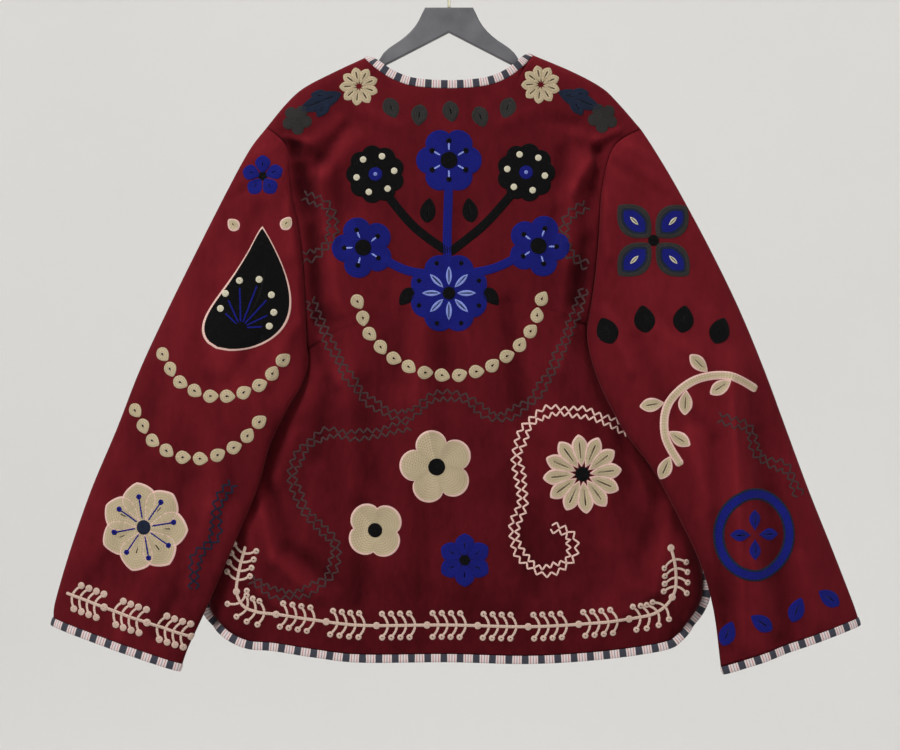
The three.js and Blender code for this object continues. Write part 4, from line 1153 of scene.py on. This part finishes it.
def petal_row(work, path, tilt, heart="black"):
    """Short cream petals strung one after another along a path, each with a dark heart."""
    centres = along(path, even(int(round(path_length(path) / (PETAL_LENGTH + PETAL_GAP)))))
    tangents = unit(np.gradient(centres, axis=0))
    for k, ((x, z), (dx, dz)) in enumerate(zip(centres, tangents)):
        angle = math.degrees(math.atan2(-dx, dz)) + (tilt if k % 2 == 0 else -tilt)
        leaf(work, x, z, angle, PETAL_LENGTH, PETAL_WIDTH, PLAIN_CREAM, start=-PETAL_LENGTH / 2,
             peak=0.8, power=0.7)
        disc(work, *beyond(x, z, angle, -0.8), 1.9, (heart,), 0.8, 0.7)


def zigzag_vine(work, path, colour):
    """Two uneven zigzag threads that meet in small diamonds along a path."""
    count = int(path_length(path) / (ZIGZAG_PERIOD / 2))
    line = along(path, even(count))
    sideways = left_of(unit(np.gradient(line, axis=0)))
    order = np.arange(count + 1)
    gap = ZIGZAG_APART / 2 * (1 + 0.2 * np.sin(0.7 * order))
    for side in (-1, 1):
        teeth = ZIGZAG_SWING * np.where(order % 2 == 0, 1, -1) * (1 + 0.3 * np.sin(2.3 * order + side))
        corners = line + sideways * (side * (gap + teeth))[:, None]
        zigzag = at_places(corners, order, np.linspace(0, count, 3 * count + 1))
        band(work, zigzag, ZIGZAG_THREAD, (colour,), height=0.9, smooth=False, step=1.6)


def ball_vine(work, path, period, reach=13.5, ball=4.1, flip=1):
    """A stem with groups of four pairs of ball-ended sprigs, and a round bud between the groups."""
    groups = max(1, int(round(path_length(path) / period)))
    band(work, path, VINE_STEM, ("shell",), height=1.0)
    places = [(group + within) / groups for group in range(groups) for within in SPRIG_PLACES]
    line = along(path, places)
    ahead = along(path, np.clip(np.asarray(places) + 0.002, 0, 1))
    for (x, z), (dx, dz) in zip(line, unit(ahead - line)):
        for side in (-1, 1):
            tip, bow = ((x - flip * back * dx - side * dz * out, z - flip * back * dz + side * dx * out)
                        for back, out in ((SPRIG_BACK, reach), (BOW_BACK, reach * BOW_REACH)))
            band(work, [(x, z), bow, tip], SPRIG_WIDTH, ("shell",), 0.05, 0.95)
            disc(work, *tip, ball, ("shell",), 0.1)
    for x, z in along(path, (np.arange(groups) + BUD_PLACE) / groups):
        disc(work, x, z, ball + 0.4, ("shell",), 0.2)


def lobed_flower(work, x, z, radius, lobes, scheme, degrees, depth, middle=None):
    """A flower of one lobed outline, with a black middle of the given radius."""
    pad(work, turned(lobed(radius, lobes, depth), degrees, x, z), (x, z), scheme)
    if middle:
        disc(work, x, z, middle, BLACK, 0.8)


def petal_flower(work, x, z, radius, petals, width, scheme, inner, degrees=0.0, middle=None):
    """A flower of separate petals, with a black middle of the given radius."""
    for k in range(petals):
        leaf(work, x, z, degrees + 360 * k / petals, radius * (1 - inner), width, scheme,
             start=radius * inner, peak=1.35, power=0.72)
    if middle:
        disc(work, x, z, middle, BLACK, 0.5)


def dotted_flower(work, x, z, radius, degrees):
    """A black scalloped flower with pale dots and a blue eye."""
    pad(work, turned(lobed(radius, 9, 0.12, 0.8), degrees, x, z), (x, z), BLACK)
    for k in range(FLOWER_DOTS):
        dot = beyond(x, z, degrees + 360 * (k + 0.5) / FLOWER_DOTS, radius * DOT_PLACE)
        disc(work, *dot, DOT_RADIUS, ("pearl",), 0.8)
    disc(work, x, z, 8.5, BLUE, 0.7)
    disc(work, x, z, 3.2, ("sky",), 1.4)


def spaced(line, step):
    """The same line with even steps."""
    lengths = run_lengths(line)
    return at_places(line, lengths, np.linspace(0, lengths[-1], int(lengths[-1] / step) + 1))


def inset_line(rim, inside):
    """A smooth line inside an edge, at an even distance from it."""
    rim = spaced(np.asarray(rim, float), RIM_STEP)
    sideways = left_of(unit(np.gradient(rim, axis=0)))
    if np.sum(np.einsum("ij,ij->i", sideways, np.asarray(inside, float) - rim)) < 0:
        sideways = -sideways
    line = rim + sideways * VINE_INSET
    least = VINE_INSET * CLEAR_SHARE
    clear = np.array([np.linalg.norm(rim - p, axis=1).min() > least for p in line])
    line = spaced(line[clear], LINE_STEP)
    for _ in range(SMOOTHINGS):
        line[1:-1] = (line[:-2] + 2 * line[1:-1] + line[2:]) / 4
    lengths = np.arange(len(line)) * LINE_STEP
    line = line[(lengths >= VINE_TRIM) & (lengths <= lengths[-1] - VINE_TRIM)]
    return spaced(line, KNOT_STEP)


def cuff_line(side):
    """A line across a sleeve, at an even distance above its cuff."""
    outer, inner = TUBES[side][-1][[0, ARMHOLE_STEPS]][:, [0, 2]]
    run = unit(inner - outer)
    up = np.array([-run[1], run[0]])
    up = up if up[1] > 0 else -up
    start = outer + up * VINE_INSET + run * 6
    end = inner + up * VINE_INSET + run * 4
    return np.array([start + (end - start) * s for s in even(5)])


def embroider_back():
    work = Stitching("embroidery_back", PANELS["back"], BACK)
    for x, z, angle in ((-66, -186, 205), (-34, -194, 172), (2, -190, 190), (36, -196, 200), (67, -186, 160)):
        leaf(work, x, z, angle, 26, 20, OLIVE, start=-13, peak=0.85, power=0.7)
    for side, x, z in ((-1, -103, -161), (1, 105, -159)):
        petal_flower(work, x, z, 23, 9, 13, PLAIN_CREAM, inner=0.1, degrees=12)
        for angle, far, length, width in ((112, 21, 54, 21), (78, 36, 23, 16), (150, 38, 25, 16)):
            foot = beyond(x, z, -side * 112, far)
            leaf(work, *foot, -side * angle, length, width, NAVY, peak=0.9, power=0.8)
        lobed_flower(work, x + side * 71, z - 38, 18, 5, OLIVE, side * 30, 0.34)

    stems = [
        ([(0, -392), (-2, -340), (0, -268)], BLUE), ([(0, -352), (-40, -322), (-72, -284)], BLACK),
        ([(0, -352), (40, -320), (74, -282)], BLACK), ([(0, -378), (-48, -372), (-86, -352)], BLUE),
        ([(0, -378), (50, -370), (90, -350)], BLUE),
    ]
    for path, scheme in stems:
        band(work, path, 11, scheme)
    lobed_flower(work, 0, -246, 38, 6, BLUE, 30, 0.2, 10.5)
    rays(work, 0, -246, range(0, 360, 60), 11, 22, "sky", "black")
    dotted_flower(work, -84, -262, 34, 10)
    dotted_flower(work, 88, -260, 34, -10)
    for x, z, turn in ((-98, -346, 20), (102, -344, -20)):
        lobed_flower(work, x, z, 36, 5, BLUE, turn, 0.26, 10)
        rays(work, x, z, [turn + 72 * k for k in range(5)], 11, 21, "sky", "black", radius=3.8)
    for side in (-1, 1):
        leaf(work, side * 26, -318, side * 8, 30, 19, BLACK, peak=0.8, power=0.8)
        leaf(work, side * 40, -392, side * -140, 26, 17, BLACK, peak=0.8, power=0.8)
    rosette = (0, -398)
    lobed_flower(work, *rosette, 46, 8, BLUE, 22.5, 0.14)
    for k in range(8):
        leaf(work, *rosette, 45 * k, 24, 9, ("sky", "navy"), start=8, base=0.8)
        disc(work, *beyond(*rosette, 45 * k + 22.5, 37), 3.6, BLACK, 0.8)
    disc(work, *rosette, 8, BLACK, 1.0)
    chain = [(-104, -408), (-88, -448), (-50, -480), (0, -492), (50, -480), (90, -446), (106, -404)]
    petal_row(work, chain, 14)

    vines = [
        ([(-160, -404), (-128, -470), (-92, -520), (-50, -538), (-24, -520), (0, -514), (26, -522),
          (54, -540), (96, -518), (128, -462), (156, -392)], "bark"),
        ([(158, -296), (132, -318), (136, -352), (160, -366)], "bark"),
        ([(-168, -286), (-140, -298), (-132, -326), (-148, -352), (-168, -356)], "bark"),
        ([(206, -556), (160, -536), (104, -536), (78, -578), (84, -632), (74, -676), (98, -712),
          (134, -706), (140, -676), (116, -664)], "edge"),
        ([(-44, -548), (-98, -560), (-146, -560), (-178, -600), (-162, -648), (-130, -684),
          (-140, -724), (-186, -742), (-226, -724)], "bark"),
    ]
    for path, colour in vines:
        zigzag_vine(work, path, colour)
    lobed_flower(work, -14, -596, 43, 5, CREAM, 14, 0.3, 10.5)
    lobed_flower(work, -84, -668, 34, 4, CREAM, 40, 0.26, 9)
    petal_flower(work, 18, -702, 31, 6, 23, BLUE, inner=0.08, middle=7)
    petal_flower(work, 152, -604, 46, 12, 20, CREAM, inner=0.16, degrees=6, middle=8.5)

    edge = PANELS["back"][:, :, [0, 2]]
    start, end = (vent_row(side) - VINE_RISE for side in ("left", "right"))
    rim = np.concatenate([edge[start:-1, 0], edge[-1], edge[-2:end - 1:-1, -1]])
    ball_vine(work, inset_line(rim, (0, -500)), VINE_GROUP)
    return work.lay()


def embroider_front(side):
    """The hem's vine goes on round the front."""
    panel = PANELS[f"front_{side}"]
    work = Stitching(f"embroidery_front_{side}", panel, FRONT)
    edge = panel[:, :, [0, 2]]
    start = vent_row(side) - VINE_RISE
    end = ARMHOLE_STEPS * 2 // 3
    rim = np.concatenate([edge[start:-1, 0], edge[-1], edge[-2:end:-1, -1]])
    ball_vine(work, inset_line(rim, (-110 if side == "left" else 110, -560)), VINE_GROUP)
    return work.lay()


def embroider_sleeve_left():
    work = Stitching("embroidery_sleeve_left", PANELS["sleeve_left_back"], BACK)
    petal_flower(work, -213, -264, 25, 5, 19, BLUE, inner=0.08, middle=5.5)
    for x, z, angle in ((-240, -326, 44), (-190, -326, -34)):
        leaf(work, x, z, angle, 18, 15, CREAM, peak=0.8, power=0.75)
    paisley = (-264, -462)
    tilt = -20
    leaf(work, *paisley, tilt, 150, 86, ("edge", "black"), peak=0.62, power=0.85, bend=0.16)
    middle = turned([(18, 32)], tilt, *paisley)[0]
    for angle, far in ((-66, 25), (-44, 34), (-22, 44), (0, 52), (22, 47), (44, 36), (66, 25)):
        rays(work, *middle, [tilt + angle], 6, far, "blue", None, 3)
        disc(work, *beyond(*middle, tilt + angle, far + 7), 4.5, ("pearl",), 0.8)
    petal_row(work, [(-326, -468), (-304, -500), (-262, -516), (-216, -504), (-188, -474)], 12, "navy")
    petal_row(work, [(-358, -532), (-334, -568), (-290, -586), (-244, -574), (-214, -544)], 12, "navy")
    flower = (-346, -664)
    petal_flower(work, *flower, 52, 7, 42, CREAM, inner=0.05, degrees=10)
    rays(work, *flower, range(10, 370, 45), 9, 35, "blue", "blue", 3, 4)
    disc(work, *flower, 9, NAVY, 1.0)
    zigzag_vine(work, [(-244, -612), (-262, -640), (-264, -672), (-286, -700), (-288, -734)], "navy")
    ball_vine(work, cuff_line("left"), CUFF_VINE_GROUP, reach=14, ball=4.4, flip=-1)
    return work.lay()


def embroider_sleeve_left_front():
    """The cuff's vine goes on round the sleeve."""
    work = Stitching("embroidery_sleeve_left_front", PANELS["sleeve_left_front"], FRONT)
    ball_vine(work, cuff_line("left"), CUFF_VINE_GROUP, reach=14, ball=4.4)
    return work.lay()


def embroider_sleeve_right():
    work = Stitching("embroidery_sleeve_right", PANELS["sleeve_right_back"], BACK)
    flower = (233, -338)
    shades = ("olive", "olive", "navy", "blue")
    for angle in (45, 135, 225, 315):
        leaf(work, *flower, angle, 52, 38, shades, start=5, power=0.8)
        leaf(work, *flower, angle, 15, 6, ("pearl",), start=24, base=0.8)
    disc(work, *flower, 6.5, BLACK, 0.8)
    for x, z, angle in ((186, -456, 22), (224, -444, 8), (264, -444, -8), (302, -456, -22)):
        leaf(work, x, z, angle, 33, 25, BLACK, peak=0.85, power=0.75)
    branch = [(352, -508), (316, -492), (276, -498), (248, -524), (244, -560), (262, -594)]
    band(work, branch, 10.5, CREAM)
    for share, side in ((0.16, 1), (0.3, -1), (0.46, 1), (0.6, -1), (0.76, 1), (0.9, -1)):
        (x, z), (ahead_x, ahead_z) = along(branch, [share, min(1, share + 0.01)])
        angle = math.degrees(math.atan2(-(ahead_x - x), ahead_z - z)) + side * 52
        leaf(work, x, z, angle, 30, 17, CREAM, start=5, peak=1.15, power=0.8)
    zigzag_vine(work, [(304, -540), (340, -552), (352, -584), (384, -598), (400, -630)], "bark")
    middle = (346, -672)
    turns = np.linspace(0, 2 * np.pi, 61)
    ring = np.stack([middle[0] + 41 * np.sin(turns), middle[1] + 46 * np.cos(turns)], axis=-1)
    band(work, ring, 14, ("navy", "blue"), smooth=False, closed=True)
    for angle in (0, 90, 180, 270):
        leaf(work, *middle, angle, 25, 15, BLUE, start=4, peak=1.2)
    for k, (x, z) in enumerate(along(cuff_line("right"), (0.12, 0.37, 0.62, 0.87))):
        angle = 18 + 38 * (-1) ** k
        leaf(work, x, z, angle, 31, 19, BLUE, start=-14, peak=0.85, power=0.8)
    return work.lay()


stitched = {
    "back": embroider_back(),
    "sleeve_left": embroider_sleeve_left(),
    "sleeve_right": embroider_sleeve_right(),
    "front_left": embroider_front("left"),
    "front_right": embroider_front("right"),
    "sleeve_left_front": embroider_sleeve_left_front(),
}

# ---------------------------------------------------------------- stage and light


FLOOR_Z = -2.4
WALL_RADIUS = 5.6
CURVE_RADIUS = 2.3
WALL_TOP = 3.4
FLOOR_RINGS = 11
FLOOR_MIDDLE = 0.02
CURVE_STEPS = 33
STUDIO_SIDES = 128


def studio():
    """A pale floor that curves up all round into a plain wall."""
    bends = np.linspace(0, np.pi / 2, CURVE_STEPS)
    arc_r = WALL_RADIUS - CURVE_RADIUS * (1 - np.sin(bends))
    arc_z = FLOOR_Z + CURVE_RADIUS * (1 - np.cos(bends))
    floor_r = np.linspace(FLOOR_MIDDLE, arc_r[0], FLOOR_RINGS + 1)[:-1]
    radii = np.concatenate([floor_r, arc_r, [WALL_RADIUS]])
    heights = np.concatenate([np.full(FLOOR_RINGS, FLOOR_Z), arc_z, [WALL_TOP]])
    turns = np.linspace(0, 2 * np.pi, STUDIO_SIDES, endpoint=False)
    grid = np.stack([radii[:, None] * np.cos(turns), radii[:, None] * np.sin(turns),
                     heights[:, None] + 0 * turns], axis=-1)
    mesh = bpy.data.meshes.new("studio")
    faces = grid_faces(*grid.shape[:2], wrap_columns=True).tolist() + [list(range(len(turns)))]
    mesh.from_pydata(grid.reshape(-1, 3).tolist(), [], faces)
    mesh.polygons.foreach_set("use_smooth", np.ones(len(mesh.polygons), bool))
    look, tree, shader = new_look("studio_paint", Roughness=0.95, Specular_IOR_Level=0.1)
    soft = spread(tree, noise(tree, 0.8), 0.2, 0.8)
    paint(tree, shader, mix_colour(tree, soft, srgb(227, 226, 224), srgb(230, 229, 227)))
    mesh.materials.append(look)
    placed("studio", mesh)


def soft_light(name, place, aim, size, power, tint):
    light = bpy.data.lights.new(name, "AREA")
    light.shape = "RECTANGLE"
    light.size, light.size_y = size
    light.energy = power
    light.color = tint
    lamp = placed(name, light)
    lamp.location = place
    lamp.rotation_euler = (Vector(aim) - Vector(place)).to_track_quat("-Z", "Y").to_euler()


studio()
soft_light("key", (-2.1, -2.7, 2.6), (0, 0, -0.45), (1.3, 1.3), 184, (1, 0.99, 0.98))
soft_light("fill", (3.0, -3.4, 1.0), (0, 0, -0.5), (2.2, 2.2), 42, (0.99, 0.99, 1))
soft_light("behind", (-1.2, 2.6, 1.6), (0, 0, -0.5), (2, 2), 40, (1, 1, 1))
soft_light("wall", (0, 1.4, 2.7), (0, 5.6, -0.6), (3.6, 0.8), 48, (1, 1, 1))
bpy.context.scene.view_settings.view_transform = "Standard"
world = bpy.data.worlds.new("studio")
world.use_nodes = True
world.node_tree.nodes["Background"].inputs["Color"].default_value = (0.93, 0.94, 0.95, 1)
world.node_tree.nodes["Background"].inputs["Strength"].default_value = 0.28
bpy.context.scene.world = world
